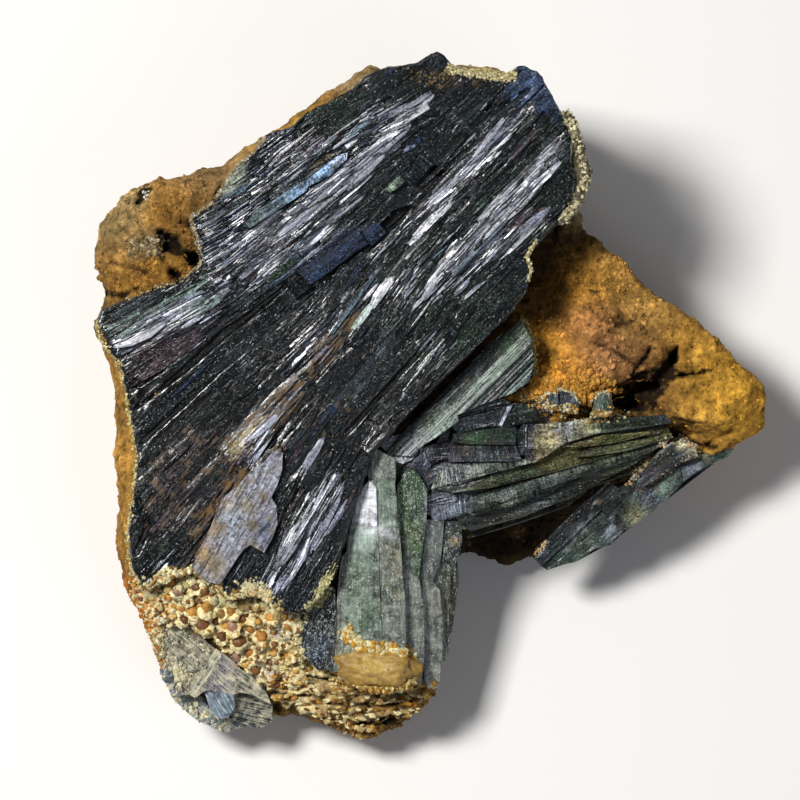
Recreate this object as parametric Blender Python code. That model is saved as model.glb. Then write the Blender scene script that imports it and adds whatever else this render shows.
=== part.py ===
"""Raw bladed mineral specimen: dark crystals grown on a lump of rusty limonite.

The specimen lies on its flat underside. Its crystal face is on top and slopes down to the front, so every
crystal is set out in the frame of that face: x to the right, y up the slope, w straight out of the face, in
millimetres. w = 0 is the mean level of the large blade plate.
"""

import math
import random

import bmesh
import bpy
from mathutils import Matrix, Vector, noise

MM = 0.001

# Driving dimensions, millimetres and degrees.
FACE_LEAN = 14.0  # how far the crystal face slopes down to the front
FACE_HEIGHT = 40.0  # height of the face frame's origin over the surface that the specimen lies on
BED_GAP = 0.35  # between a crystal and the matrix that it grew on
PLATE_TOP, PLATE_FOOT = -2.4, -10.0  # levels of the blade plate's body, under its raised blades
STEP_TOP, STEP_FOOT = -6.6, -13.0  # levels of the lower step right of the plate
CRUST_SLOPE = 21.0  # the bead crust falls away to the front by this much more than the face
CRUST_HINGE = (-30.0, -33.0, -4.5)  # the point of the face about which the crust is tipped
CRUST_THICKNESS = 5.0
BEAD_ROOM = 3.0  # cleared over the crust for its beads
SLAB_THICKNESS = 4.4
OPEN_ABOVE = 30.0  # cutters for beds reach this high, clear of everything
POINT_SHARE = (0.25, 0.5)  # a blade's blunt point is this share of its width and thickness
WELD = 0.01  # points of a curve's caps closer than this are one

# Blades run towards a point past the far corner of the face, and turn steeper down the slope.
FAN_POINT = (60.0, 85.0)
FAN_TURN = 0.22  # degrees for each millimetre below FAN_TURN_FROM
FAN_TURN_FROM = 5.0

# The matrix: its widest outline seen square to the face, counterclockwise from the right-hand end.
MATRIX_CENTRE = (0.0, 5.0)
MATRIX_OUTLINE = (
    (65.7, -2), (65, 1.5), (63.5, 4.5), (61, 6), (58, 9), (54, 12.5), (50.5, 15.3), (46, 17.8),
    (43.5, 19.5), (42.3, 21.3), (39.5, 24.5), (36.5, 27.3), (33.5, 28.3), (31.5, 31), (31, 33.5),
    (32, 36.5), (33.4, 39.5), (32, 42.8), (30.7, 46.5), (29, 50), (26.5, 53), (24, 55.5), (21, 57.3),
    (16, 58.8), (12, 59), (8, 58.5), (3, 57), (-2, 57.5), (-5, 59), (-7.5, 58.3), (-10.5, 55.7),
    (-13, 54), (-16.5, 51.7), (-18, 49.9), (-21.5, 48.7), (-24, 45.7), (-27.5, 43.9), (-31.5, 41.5),
    (-36, 40.2), (-42, 39), (-45.5, 38.2), (-50.5, 34.8), (-53, 32), (-53.6, 28.5), (-53, 23.5),
    (-51.4, 19.5), (-53, 17), (-54.5, 14.3), (-54, 10), (-52, 8), (-50.6, 4), (-50.2, -4), (-49.8, -12),
    (-49.8, -20), (-50, -27), (-49.2, -32.5), (-46.8, -37), (-44, -42), (-42.3, -46.5), (-40, -50.5),
    (-36, -54), (-31, -56.5), (-25, -56.3), (-20.5, -54.8), (-16, -56.6), (-12, -58.4), (-6.5, -59.8),
    (-1, -58), (3, -56), (5.8, -52.5), (7, -47), (8, -40), (9, -33), (10.2, -28.2), (12, -26.8),
    (15, -28), (19, -29.2), (23, -28.5), (29, -25.5), (37, -21), (46, -15), (54, -10.5), (59, -8.2),
    (63.5, -8.4), (64.8, -6),
)
# Spot heights of the matrix's upper side, as a surveyor would note them: x, y, w.
MATRIX_SPOTS = (
    # under the plate
    (-20, 10, -6), (-10, 35, -6), (15, 35, -6), (-30, -15, -6), (0, 20, -6), (-38, 5, -6),
    # left rim
    (-49, 5, -5), (-48.5, -10, -6), (-48.5, -25, -6), (-47, -33, -7),
    # corner lump
    (-44, 30, -2), (-50, 28, -5), (-38, 24, -3.5), (-45, 36, -4), (-52, 22, -7), (-36, 36, -4.5),
    # back rim
    (-30, 40, -5), (-22, 47.5, -5), (-14, 52.5, -5), (-6, 57.5, -5), (5, 57, -5), (14, 58, -2.5),
    # back right corner
    (22, 56, -3), (29, 49, -3), (31.5, 44, -2.5), (32, 39, -2.5), (30, 35, -5),
    # right lobe
    (29, 30, -14), (25, 24, -16), (28, 17, -15), (33, 24, -15), (26, 10, -13.5), (33, 14, -11.5),
    # under the fan
    (41, 19, -15), (38, 8, -11), (46, 13, -13.5), (45, 6, -14), (54, 9, -16), (52, 2, -12.5),
    (58, 2, -12.5), (62, -2, -15), (57, -6, -14), (42, -2, -16), (34, -1, -12.5), (26, -1, -11),
    (22, 2, -9), (20, -20, -22), (15, -25, -25), (30, -15, -22), (44, -10, -22), (12, -12, -16),
    (25, -8, -17),
    # under the slab
    (30, -24, -27), (40, -18, -26), (50, -12, -25),
    # under the pale crystals
    (0, -15, -8), (0, -30, -10), (0, -45, -12), (8, -35, -16), (6, -20, -14),
    (-30, -38, -7.5), (-42, -36, -8), (-20, -45, -10.5), (-35, -48, -12), (-10, -52, -12),
    (-25, -54, -16), (-3, -55, -14), (0, -50, -12),
)
MATRIX_WIDEST = -20.0  # level of the widest outline, lower where the upper side itself is low
MATRIX_RIM = 5.0  # least height of the upper side over the widest outline
MATRIX_FOOT = 3.0  # least height of the widest outline over the floor
MATRIX_KEEL = 7.0  # how far the body reaches below the floor before it is cut off there
MATRIX_BITE = 13.0  # depth of the broad hollows broken out of its flanks
MATRIX_SHARPNESS = 4.0  # power of the inverse distance between spot heights
MATRIX_SEGMENTS, MATRIX_RINGS = 62, 21
# Hollows in the matrix: centre, radii.
MATRIX_PITS = (
    ((-39.8, 28, -1.5), (2.1, 2.6, 5)), ((-36.4, 24.8, -2.5), (2.2, 1.7, 5)),
    ((-39.4, 21.9, -3), (1.4, 1.1, 4)), ((-45.2, 36, -3.5), (1.3, 1.0, 2.5)),
    ((-45, 26.3, -1.2), (3.2, 1.2, 1.6)), ((35.3, 2.2, -11.5), (1.7, 1.0, 4)),
    ((42.8, 2.4, -13.5), (4.2, 1.5, 5)), ((48.5, 7.2, -12.5), (2.4, 1.5, 4)),
    ((51.5, 4.3, -12), (3.6, 0.8, 3)), ((40.5, -0.6, -14), (3.4, 1.5, 5)),
    ((50, -5.8, -16), (4.2, 1.7, 6)),
)

PLATE_OUTLINE = (
    (20, 16), (22, 19), (22.6, 22), (21.6, 25), (25, 28.5), (27.8, 31), (29.6, 34.5), (30.8, 38),
    (29.8, 42), (30, 46.5), (28, 50.5), (26, 54), (24, 57.3), (21, 58.2), (17.5, 56.3), (13, 57.6),
    (9.5, 58), (6.6, 60.8), (3, 58.8), (-2, 58.2), (-5.5, 56.8), (-9, 54), (-13, 51.7), (-16.3, 50),
    (-19, 47.8), (-23.3, 46.3), (-25.5, 43.3), (-29, 40.3), (-31.3, 37), (-33, 34), (-36.8, 32.3),
    (-35.2, 28), (-34.4, 23.6), (-38, 20.6), (-43, 19.2), (-48, 17.4), (-52.3, 15.7), (-53.3, 12.5),
    (-51.5, 9), (-49, 6.5), (-47.8, 1), (-46.8, -5), (-45.8, -10), (-46.6, -17), (-47.6, -23),
    (-46.8, -29.5), (-44.3, -33.2), (-40, -31), (-36.5, -30), (-33, -32.5), (-30, -35), (-25, -34),
    (-21, -37), (-17.5, -37.6), (-14, -34), (-11.2, -30), (-9.6, -25), (-8, -19), (-6.3, -14.5),
    (-4.6, -8.8), (0, -4), (5, 1.2), (10, 6.2), (15, 11),
)
STEP_OUTLINE = (
    (-2.2, -9.6), (2, -9.8), (5, -6.4), (9, -3), (14, -0.8), (19.5, 1.2), (22.6, 3.2), (23.4, 6.5),
    (23, 10.5), (21.3, 14), (15.8, 9.9), (10.8, 4.9), (5.8, -0.1), (0.8, -5.3),
)
CRUST_OUTLINE = (
    (-47, -33.5), (-44.5, -38), (-42, -40.5), (-38, -40), (-33, -43), (-28, -47.5), (-24, -51.5),
    (-20.4, -55.6), (-16, -57.2), (-11, -59.2), (-6, -60.2), (-1, -58.5), (3.4, -56), (5.6, -51.3),
    (1, -51.8), (-4, -51.6), (-10, -50.4), (-14.5, -49), (-16.4, -44), (-17.4, -38.6), (-21.2, -38),
    (-25, -35), (-30.2, -36), (-33.4, -33.4), (-36.6, -31), (-40.2, -32), (-44.2, -34.4),
)
SLAB_OUTLINE = (
    (24.3, -28.3), (25.5, -30), (28, -29.3), (31, -28.4), (34, -26.4), (37, -25.6), (40, -23.6),
    (43, -19.6), (47.5, -15.9), (52.5, -12.4), (58, -9.8), (59, -8.7), (55, -9.3), (52, -9),
    (49.5, -7.4), (46.5, -8.4), (44, -11), (40.5, -13.2), (37, -14), (34.5, -16), (31, -20.3),
    (27.5, -23.6), (26, -26.2),
)

# Named blades of the plate: foot, tip, width, level of the top, roll in degrees.
PLATE_FEATURES = (
    ((-51.5, 11), (-31, 19.5), 5.2, 0.6, -12),  # broad bright blade at the left end
    ((-46.5, 3.5), (-30, 13.5), 6.5, -0.4, 10),
    ((-45, -4), (-20, 15), 6.0, -1.6, -6),  # floor of the long dark channel
    ((-24, 17.5), (-5, 31), 4.4, -1.4, 14),
    ((-4, 33), (14, 51), 5.0, -1.7, -10),
    ((-27.5, 31), (-9, 43), 3.2, 0.7, 12),
    ((-8.5, 9.5), (-1, 22), 2.2, 0.9, -14),
    ((-30.5, -11.5), (-16.5, 1.5), 4.0, 0.3, 8),
    ((-32, -31), (-22, -11.5), 9.0, -0.2, -4),  # broad dull face
    ((-18, -15), (-13, -5.5), 2.6, 0.7, 12),
    ((-22.5, -31), (-10.5, -12), 2.4, 0.5, -16),
    ((8, 22), (22, 38), 3.6, 0.8, 10),
    ((14, 38), (25, 50), 4.2, 0.7, -12),
    ((1, 6), (14, 18), 5.0, 0.2, -8),
)
CHANNEL = ((-46, -4), (18, 52), 4.5)  # from, to and half width: common blades stay off it
PLATE_BLADE_STEP = 11.5  # spacing of the common blades
PLATE_BLADE_LENGTH = (16.0, 30.0)
PLATE_BLADE_WIDTH = (2.6, 5.4)
PLATE_BLADE_LEVEL = (-1.6, 0.5)
PLATE_BLADE_DEPTH = 3.4
PLATE_BLADE_TAPER = 0.72  # width at the tip as a share of the width at the foot
PLATE_BLADE_ROLL = 14.0  # most that a blade is turned about its own length, either way
PLATE_BLADE_STRAY = 4.0  # most that it strays from the fan's direction, either way

# Prisms of the other groups: foot, tip, width at foot, width at tip, thickness, roll, length of the point.
STEP_BLADES = (
    ((1, -8, -6.5), (19.5, 11.5, -6.4), 4.6, 3.0, 4.0, 10, 0),
    ((5, -5, -6.8), (21.5, 8.5, -6.8), 5.0, 3.6, 4.0, -6, 0),
    ((12, -0.6, -7.2), (22, 5, -7.4), 4.2, 2.4, 3.6, 12, 0),
    ((-1.5, -9, -6.6), (8, 1, -6.2), 3.4, 2.2, 4.0, -10, 1.5),
)
PALE_BLADES = (
    ((-11.4, -47.6, -11), (-10.3, -31, -6), 1.9, 1.6, 6.0, 0, 1.5),
    ((-8.0, -46.5, -9.5), (-5.5, -12.5, -4.5), 6.0, 2.2, 7.0, -6, 4.0),
    ((-2.5, -46.8, -9), (-2.8, -12, -4.8), 5.2, 3.9, 7.0, 4, 2.5),
    ((1.6, -47.2, -9.8), (1.7, -14.5, -7.0), 6.4, 4.2, 6.8, 7, 4.0),
    ((5.2, -49, -12), (6.0, -22, -9.0), 4.2, 3.8, 6.4, 14, 1.2),
    ((7.1, -45.5, -14), (8.6, -28.6, -12), 4.0, 3.4, 6.0, 20, 0.8),
    ((9.0, -28.8, -10.5), (9.2, -21.6, -9.8), 3.6, 3.4, 5.0, 12, 0.8),
    ((-14.4, -47.5, -9.5), (-12.9, -34.5, -5.4), 5.6, 1.8, 5.0, -8, 2.0),
)
FAN_BLADES = (
    ((48, -5.2, -18), (10.5, -9.6, -9.0), 3.6, 11.4, 5.2, 9, 2.2),
    ((48, -7, -18.5), (6, -17.8, -8.4), 2.0, 5.4, 4.0, 4, 1.8),
    ((47.5, -8.5, -20), (12, -22.2, -12.5), 2.2, 5.4, 4.6, 16, 0.8),
    ((44, -8, -19.5), (20, -15, -12.0), 2.0, 4.4, 4.0, 12, 2.0),
    ((24.4, -2.2, -12.0), (11.2, -4.4, -8.0), 4.4, 3.8, 4.6, -8, 1.2),
    ((14, -8.5, -9.4), (4.2, -9.2, -7.4), 5.0, 3.8, 4.4, -14, 1.2),
    ((12, -13, -9.4), (4.4, -12.6, -7.6), 4.6, 3.4, 3.8, 12, 1.0),
)
SLAB_LEVEL = -19.5
SLAB_RIDGES = (
    ((44, -13, -19.2), (26.4, -28, -19.6), 6.6, 3.2, 4.0, 12, 1.0),
    ((51.5, -10, -17.6), (40.5, -15.5, -18.4), 5.2, 4.4, 4.2, -10, 1.2),
    ((56.5, -10, -21), (40, -20.5, -20.2), 3.4, 6.0, 3.6, -12, 1.0),
)
FROSTED_BLADES = (
    ((-41.0, -39.5, -10.5), (-30.0, -48.0, -12.8), 6.0, 5.0, 5.0, 8, 1.2),
    ((-42.2, -44.5, -12.5), (-34.2, -52.0, -15.0), 6.6, 5.6, 5.0, -6, 1.4),
    ((-36.5, -42.2, -10.5), (-27.5, -50.4, -13.6), 5.0, 4.2, 4.6, 12, 1.2),
    ((-33.6, -55.0, -17.0), (-29.0, -47.2, -13.2), 6.6, 5.0, 5.2, -10, 1.6),
    ((-29.6, -56.0, -18.0), (-26.6, -49.4, -14.6), 6.0, 5.0, 5.0, 6, 1.2),
    ((-21.6, -55.2, -18.0), (-28.5, -51.2, -15.0), 5.4, 4.6, 5.0, -12, 1.4),
    ((-39.0, -52.2, -17.0), (-41.6, -45.6, -14.0), 4.6, 4.0, 4.6, 6, 1.0),
)
VUG_CRYSTALS = (
    ((29, -1.2, -14), (28.4, 2.0, -9.2), 2.8, 2.4, 2.4, 30, 0.8),
    ((26.4, -1.6, -14), (26.0, -0.2, -9.8), 3.0, 2.2, 2.4, -20, 0.6),
    ((34.4, -2.4, -16), (36.4, 1.2, -10.6), 2.6, 2.2, 2.2, 20, 0.8),
    ((31.6, -2.6, -16), (31.4, -1.6, -11.4), 4.6, 3.4, 2.6, 10, 0.6),
    ((28.8, -2.6, -15), (33.5, -2.6, -14), 3.4, 3.4, 2.4, 0, 0.4),
)
# Beads of the crust: x, y, radius. They stand on the crust's own tipped surface.
CRUST_BEADS = (
    (-42.5, -35.6, 1.1), (-39.4, -33.8, 1.5), (-37.7, -35.2, 1.3), (-35.4, -33.4, 1.5), (-33.6, -35.4, 1.4),
    (-36.6, -38.2, 1.5), (-33.9, -37.6, 1.6), (-38.2, -39.6, 1.2), (-34.5, -40.6, 1.7), (-31.1, -38.4, 1.4),
    (-29.2, -38.0, 1.3), (-29, -41.0, 1.6), (-31.4, -42.6, 1.3), (-28, -43.6, 1.5), (-25.5, -39.2, 1.3),
    (-24.4, -42.6, 1.5), (-22.2, -39.6, 1.2), (-25.2, -46.2, 1.3), (-21.6, -43.8, 1.2), (-22.4, -49.2, 1.4),
    (-19.2, -46.6, 1.2), (-18.6, -51.0, 1.4), (-14.6, -52.8, 1.3), (-21, -53.4, 1.3), (-10.6, -54.4, 1.5),
    (-6.6, -53.2, 1.2), (-2.6, -54.2, 1.4), (-5.6, -57.4, 1.3), (-13.6, -56.4, 1.3), (0.8, -54.6, 1.2),
)
# The smooth ochre lump at the pale crystals' feet.
CAP_CENTRE = (-3.6, -47.9, -8.4)
CAP_RADII = (7.4, 3.6, 4.6)

LOOK = {  # base colour, roughness, metallic
    "limonite": ((0.32, 0.15, 0.05, 1), 0.95, 0.0),
    "dark blade": ((0.016, 0.020, 0.026, 1), 0.22, 0.0),
    "green blade": ((0.05, 0.075, 0.055, 1), 0.25, 0.0),
    "pale crystal": ((0.17, 0.22, 0.17, 1), 0.2, 0.0),
    "grey blade": ((0.10, 0.11, 0.11, 1), 0.5, 0.0),
    "cream crust": ((0.55, 0.42, 0.20, 1), 0.9, 0.0),
}


def clear_scene():
    for obj in list(bpy.data.objects):
        bpy.data.objects.remove(obj, do_unlink=True)


def new_collection(name):
    collection = bpy.data.collections.new(name)
    bpy.context.scene.collection.children.link(collection)
    return collection


def material(name):
    made = bpy.data.materials.get(name)
    if made is None:
        colour, roughness, metallic = LOOK[name]
        made = bpy.data.materials.new(name)
        made.use_nodes = True
        shader = made.node_tree.nodes["Principled BSDF"]
        shader.inputs["Base Color"].default_value = colour
        shader.inputs["Roughness"].default_value = roughness
        shader.inputs["Metallic"].default_value = metallic
        made.diffuse_color = colour
    return made


def add_object(name, mesh, collection, place=Matrix.Identity(4)):
    """An object in the frame of the crystal face."""
    obj = bpy.data.objects.new(name, mesh)
    collection.objects.link(obj)
    obj.parent = FACE
    obj.matrix_local = place
    obj.hide_render = True
    obj.display_type = "WIRE"
    return obj


def mesh_from(bm, name):
    """A mesh in metres from a bmesh in millimetres."""
    bmesh.ops.recalc_face_normals(bm, faces=bm.faces)
    bmesh.ops.scale(bm, vec=(MM, MM, MM), verts=bm.verts)
    mesh = bpy.data.meshes.new(name)
    bm.to_mesh(mesh)
    bm.free()
    return mesh


def grown(outline, distance):
    """The closed counterclockwise outline moved outwards by a distance."""
    points = [Vector(p) for p in outline]
    moved = []
    for before, point, after in zip(points[-1:] + points[:-1], points, points[1:] + points[:1]):
        first = (point - before).normalized()
        second = (after - point).normalized()
        out = Vector((first.y + second.y, -first.x - second.x)).normalized()
        lift = min(1 / max(out.dot(Vector((first.y, -first.x))), 0.5), 2.0)
        moved.append(tuple(point + out * distance * lift))
    return moved


def inside(outline, x, y):
    crossings = 0
    for (xa, ya), (xb, yb) in zip(outline, outline[1:] + outline[:1]):
        if (ya > y) != (yb > y) and x < xa + (y - ya) * (xb - xa) / (yb - ya):
            crossings += 1
    return crossings % 2 == 1


def outline_solid(name, outline, low, high, collection, tip=Matrix.Identity(4)):
    """A flat outline as a filled curve with thickness, made a mesh so that it can be joined and cut."""
    curve = bpy.data.curves.new(name, "CURVE")
    curve.dimensions = "2D"
    curve.fill_mode = "BOTH"
    curve.extrude = (high - low) / 2 * MM
    spline = curve.splines.new("POLY")
    spline.points.add(len(outline) - 1)
    for point, (x, y) in zip(spline.points, outline):
        point.co = (x * MM, y * MM, 0, 1)
    spline.use_cyclic_u = True
    guide = bpy.data.objects.new(name, curve)
    collection.objects.link(guide)
    guide.parent = FACE
    guide.matrix_local = tip @ Matrix.Translation((0, 0, (low + high) / 2 * MM))
    mesh = evaluated_mesh(guide, name)
    place = guide.matrix_local.copy()
    bpy.data.objects.remove(guide)
    bm = bmesh.new()
    bm.from_mesh(mesh)
    bmesh.ops.remove_doubles(bm, verts=bm.verts, dist=WELD * MM)
    bmesh.ops.recalc_face_normals(bm, faces=bm.faces)
    bm.to_mesh(mesh)
    bm.free()
    return add_object(name, mesh, collection, place)


def evaluated_mesh(obj, name):
    graph = bpy.context.evaluated_depsgraph_get()
    mesh = bpy.data.meshes.new_from_object(obj.evaluated_get(graph))
    mesh.name = name
    return mesh


def prism(name, foot, tip, foot_width, tip_width, thickness, roll, point, collection, grow=0.0):
    """A six-sided crystal blade from foot to tip. Its broad faces look straight out of the crystal face,
    turned by roll, and past the tip it narrows to a blunt point."""
    foot, tip = Vector(foot), Vector(tip)
    along = (tip - foot).normalized()
    across = Vector((0, 0, 1)).cross(along).normalized()
    up = along.cross(across)
    length = (tip - foot).length + 2 * grow
    foot_radius = foot_width / 2 + grow
    tip_radius = tip_width / 2 + grow
    bm = bmesh.new()
    radii = {"radius1": foot_radius, "radius2": tip_radius}
    bmesh.ops.create_cone(bm, cap_ends=True, segments=6, depth=length, **radii)
    flatten = (thickness / 2 + grow) / (max(foot_radius, tip_radius) * math.sin(math.radians(60)))
    bmesh.ops.scale(bm, vec=(1, flatten, 1), verts=bm.verts)
    if point:
        end = max(bm.faces, key=lambda face: face.calc_center_median().z)
        made = bmesh.ops.extrude_discrete_faces(bm, faces=[end])["faces"][0]
        bmesh.ops.translate(bm, vec=(0, 0, point + grow), verts=made.verts)
        centre = made.calc_center_median()
        bmesh.ops.scale(bm, vec=(*POINT_SHARE, 1), verts=made.verts, space=Matrix.Translation(-centre))
    # The cone stands on its own Z: Z goes along the blade, X across it and Y out of the face.
    turn = Matrix((across, up, along)).transposed().to_4x4()
    place = Matrix.Translation((foot + tip) / 2 * MM) @ turn @ Matrix.Rotation(math.radians(roll), 4, "Z")
    return add_object(name, mesh_from(bm, name), collection, place)


def ball(name, centre, radii, collection, roughness=0.0, detail=2, grow=0.0, tip=Matrix.Identity(4)):
    """An ellipsoid lump, bead or hollow, with its surface moved in and out by a share of its radii."""
    bm = bmesh.new()
    bmesh.ops.create_icosphere(bm, subdivisions=detail, radius=1)
    seed = Vector(centre) * 0.37
    for vert in bm.verts:
        swell = 1 + roughness * noise.noise(vert.co * 1.3 + seed)
        vert.co = Vector((c * (r + grow) * swell for c, r in zip(vert.co, radii)))
    mesh = mesh_from(bm, name)
    return add_object(name, mesh, collection, tip @ Matrix.Translation(Vector(centre) * MM))


def fan_angle(x, y):
    """Direction of the plate's blades at a point of the face, in radians."""
    base = math.atan2(FAN_POINT[1] - y, FAN_POINT[0] - x)
    return base + math.radians(FAN_TURN * max(0.0, FAN_TURN_FROM - y))


def spot_level(x, y):
    """The level of the matrix's upper side, from the nearest spot heights."""
    total = weight = 0.0
    for sx, sy, level in MATRIX_SPOTS:
        share = 1 / (math.hypot(x - sx, y - sy) + 0.5) ** MATRIX_SHARPNESS
        total += share * level
        weight += share
    return total / weight


def outline_radius(angle):
    """Distance from the matrix's centre to its outline in a direction."""
    cx, cy = MATRIX_CENTRE
    ray = Vector((math.cos(angle), math.sin(angle)))
    for (xa, ya), (xb, yb) in zip(MATRIX_OUTLINE, MATRIX_OUTLINE[1:] + MATRIX_OUTLINE[:1]):
        a = Vector((xa - cx, ya - cy))
        b = Vector((xb - cx, yb - cy))
        side_a = ray.cross(a)
        side_b = ray.cross(b)
        if side_a <= 0 < side_b and ray.dot(a) > 0:
            return ray.dot(a.lerp(b, side_a / (side_a - side_b)))
    raise ValueError("the matrix outline has to run once round its centre")


def floor_level(y):
    """The level, in the face frame, of the surface that the specimen lies on."""
    lean = math.radians(FACE_LEAN)
    return -(FACE_HEIGHT + y * math.sin(lean)) / math.cos(lean)


def on_ray(angle, reach):
    """The point of the face at a distance from the matrix's centre in a direction."""
    return MATRIX_CENTRE[0] + reach * math.cos(angle), MATRIX_CENTRE[1] + reach * math.sin(angle)


def matrix_point(direction):
    """Where a point of a unit sphere goes on the matrix: its upper half follows the spot heights with a
    rounded rim, its lower half draws in under the widest outline and ends below the floor."""
    across = math.hypot(direction.x, direction.y)
    angle = math.atan2(direction.y, direction.x)
    reach = outline_radius(angle)
    edge = on_ray(angle, reach)
    widest = max(min(MATRIX_WIDEST, spot_level(*edge) - MATRIX_RIM), floor_level(edge[1]) + MATRIX_FOOT)
    if direction.z >= 0:
        x, y = on_ray(angle, reach * across)
        level = widest + (spot_level(x, y) - widest) * direction.z ** 0.34
    else:
        x, y = on_ray(angle, reach * across)
        level = widest + (floor_level(y) - MATRIX_KEEL - widest) * abs(direction.z) ** 0.6
    return Vector((x, y, level))


def rough(point, out):
    """How far the weathered rock stands out at a point: broad lumps, smaller ones on them, and hollows in the
    flanks, which stay behind the outline."""
    broad = noise.noise(point / 11.0)
    fine = noise.noise(point / 4.2 + Vector((7, 3, 1)))
    lumps = 1.1 * broad + 0.65 * fine
    if out.z >= 0:
        return lumps * (1 - 0.75 * (1 - out.z) ** 3)
    flank = min(1.0, -out.z * 2.5)
    bite = MATRIX_BITE * abs(noise.noise(point / 26.0 + Vector((2, 9, 4)))) ** 0.8
    return lumps * (0.25 + 0.75 * flank) - bite * flank


def build_matrix_body(collection):
    bm = bmesh.new()
    bmesh.ops.create_uvsphere(bm, u_segments=MATRIX_SEGMENTS, v_segments=MATRIX_RINGS, radius=1)
    for vert in bm.verts:
        out = vert.co.normalized()
        point = matrix_point(out)
        vert.co = point + out * rough(point, out)
    return add_object("limonite_matrix", mesh_from(bm, "limonite_matrix"), collection)


def near_channel(x, y):
    (xa, ya), (xb, yb), half_width = CHANNEL
    run = Vector((xb - xa, yb - ya))
    offset = abs(run.cross(Vector((x - xa, y - ya)))) / run.length
    return offset < half_width


def plate_blade(name, foot, tip, width, level, roll, collection):
    middle = level - PLATE_BLADE_DEPTH / 2
    ends = (*foot, middle), (*tip, middle)
    tip_width = width * PLATE_BLADE_TAPER
    prism(name, *ends, width, tip_width, PLATE_BLADE_DEPTH, roll, width / 2, collection)


def within_plate(start, run, reach):
    """The point of the plate that lies up to reach along run from the start."""
    while reach > 3 and not inside(PLATE_OUTLINE, *(start + run * reach)):
        reach -= 1
    return tuple(start + run * reach)


def common_plate_blades(collection):
    """Blades on a lattice over the plate, each along the fan, cut short where it would leave the plate."""
    draw = random.Random(11)
    made = 0
    for row in range(-5, 9):
        for column in range(-7, 6):
            x = column * PLATE_BLADE_STEP + (row % 2) * PLATE_BLADE_STEP / 2 + draw.uniform(-2, 2)
            y = row * PLATE_BLADE_STEP * 0.75 + draw.uniform(-2, 2)
            length = draw.uniform(*PLATE_BLADE_LENGTH)
            width = draw.uniform(*PLATE_BLADE_WIDTH)
            level = draw.uniform(*PLATE_BLADE_LEVEL)
            roll = draw.uniform(-PLATE_BLADE_ROLL, PLATE_BLADE_ROLL)
            angle = fan_angle(x, y) + math.radians(draw.uniform(-PLATE_BLADE_STRAY, PLATE_BLADE_STRAY))
            if not inside(PLATE_OUTLINE, x, y) or near_channel(x, y):
                continue
            run = Vector((math.cos(angle), math.sin(angle)))
            ends = [within_plate(Vector((x, y)), way * run, length / 2) for way in (-1, 1)]
            plate_blade(f"blade_{made}", *ends, width, level, roll, collection)
            made += 1


def joined(base, steps, name, look, collection):
    """The base object after its Boolean steps: one closed mesh, without the crumbs that cuts leave loose."""
    for operation, operands in steps:
        modifier = base.modifiers.new(operation.lower(), "BOOLEAN")
        modifier.operation = operation
        modifier.solver = "EXACT"
        modifier.operand_type = "COLLECTION"
        modifier.collection = operands
    mesh = evaluated_mesh(base, name)
    place = base.matrix_local.copy()
    bpy.data.objects.remove(base)
    keep_largest_body(mesh)
    mesh.materials.clear()
    mesh.materials.append(material(look))
    obj = add_object(name, mesh, collection, place)
    obj.hide_render = False
    obj.display_type = "TEXTURED"
    return obj


def keep_largest_body(mesh):
    bm = bmesh.new()
    bm.from_mesh(mesh)
    bmesh.ops.dissolve_degenerate(bm, edges=bm.edges, dist=0.002 * MM)
    unseen = set(bm.faces)
    bodies = []
    while unseen:
        body = {unseen.pop()}
        edge_of_body = list(body)
        while edge_of_body:
            face = edge_of_body.pop()
            for edge in face.edges:
                for other in edge.link_faces:
                    if other in unseen:
                        unseen.discard(other)
                        body.add(other)
                        edge_of_body.append(other)
        bodies.append(body)
    largest = max(bodies, key=len)
    bmesh.ops.delete(bm, geom=[f for f in bm.faces if f not in largest], context="FACES")
    bmesh.ops.delete(bm, geom=[v for v in bm.verts if not v.link_faces], context="VERTS")
    bm.to_mesh(mesh)
    bm.free()


def crystal_group(name, blades, look, parts, beds):
    """Crystals grown together: every blade after the first is joined to it, and the same blades, made larger
    by the gap, become beds in what is built after them."""
    others = new_collection(name + " blades")
    own_beds = []
    for number, blade in enumerate(blades):
        if number:
            prism(f"{name}_{number}", *blade, others)
        own_beds.append(prism(f"{name}_bed_{number}", *blade, parts, grow=BED_GAP))
    first = prism(name, *blades[0], parts)
    joined(first, [("UNION", others), ("DIFFERENCE", beds)], name, look, parts)
    add_beds(own_beds, parts, beds)


def add_beds(cutters, source, beds):
    for cutter in cutters:
        source.objects.unlink(cutter)
        beds.objects.link(cutter)


def crystal_plate(name, outline, levels, raised, look, parts, beds):
    """A plate of grown-together blades: a body with blades standing out of it, trimmed to its outline."""
    foot, top = levels
    limit = new_collection(name + " outline")
    outline_solid(name + "_limit", outline, foot - 1, OPEN_ABOVE, limit)
    body = outline_solid(name, outline, foot, top, parts)
    joined(body, [("UNION", raised), ("INTERSECT", limit)], name, look, parts)
    outline_solid(name + "_bed", grown(outline, BED_GAP), foot - BED_GAP, OPEN_ABOVE, beds)


def build_plate(parts, beds):
    raised = new_collection("plate blades")
    common_plate_blades(raised)
    for number, (foot, tip, width, level, roll) in enumerate(PLATE_FEATURES):
        plate_blade(f"feature_{number}", foot, tip, width, level, roll, raised)
    crystal_plate("blade_plate", PLATE_OUTLINE, (PLATE_FOOT, PLATE_TOP), raised, "dark blade", parts, beds)


def build_step(parts, beds):
    raised = new_collection("step blades")
    for number, blade in enumerate(STEP_BLADES):
        prism(f"step_{number}", *blade, raised)
    crystal_plate("side_blades", STEP_OUTLINE, (STEP_FOOT, STEP_TOP), raised, "green blade", parts, beds)


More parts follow.
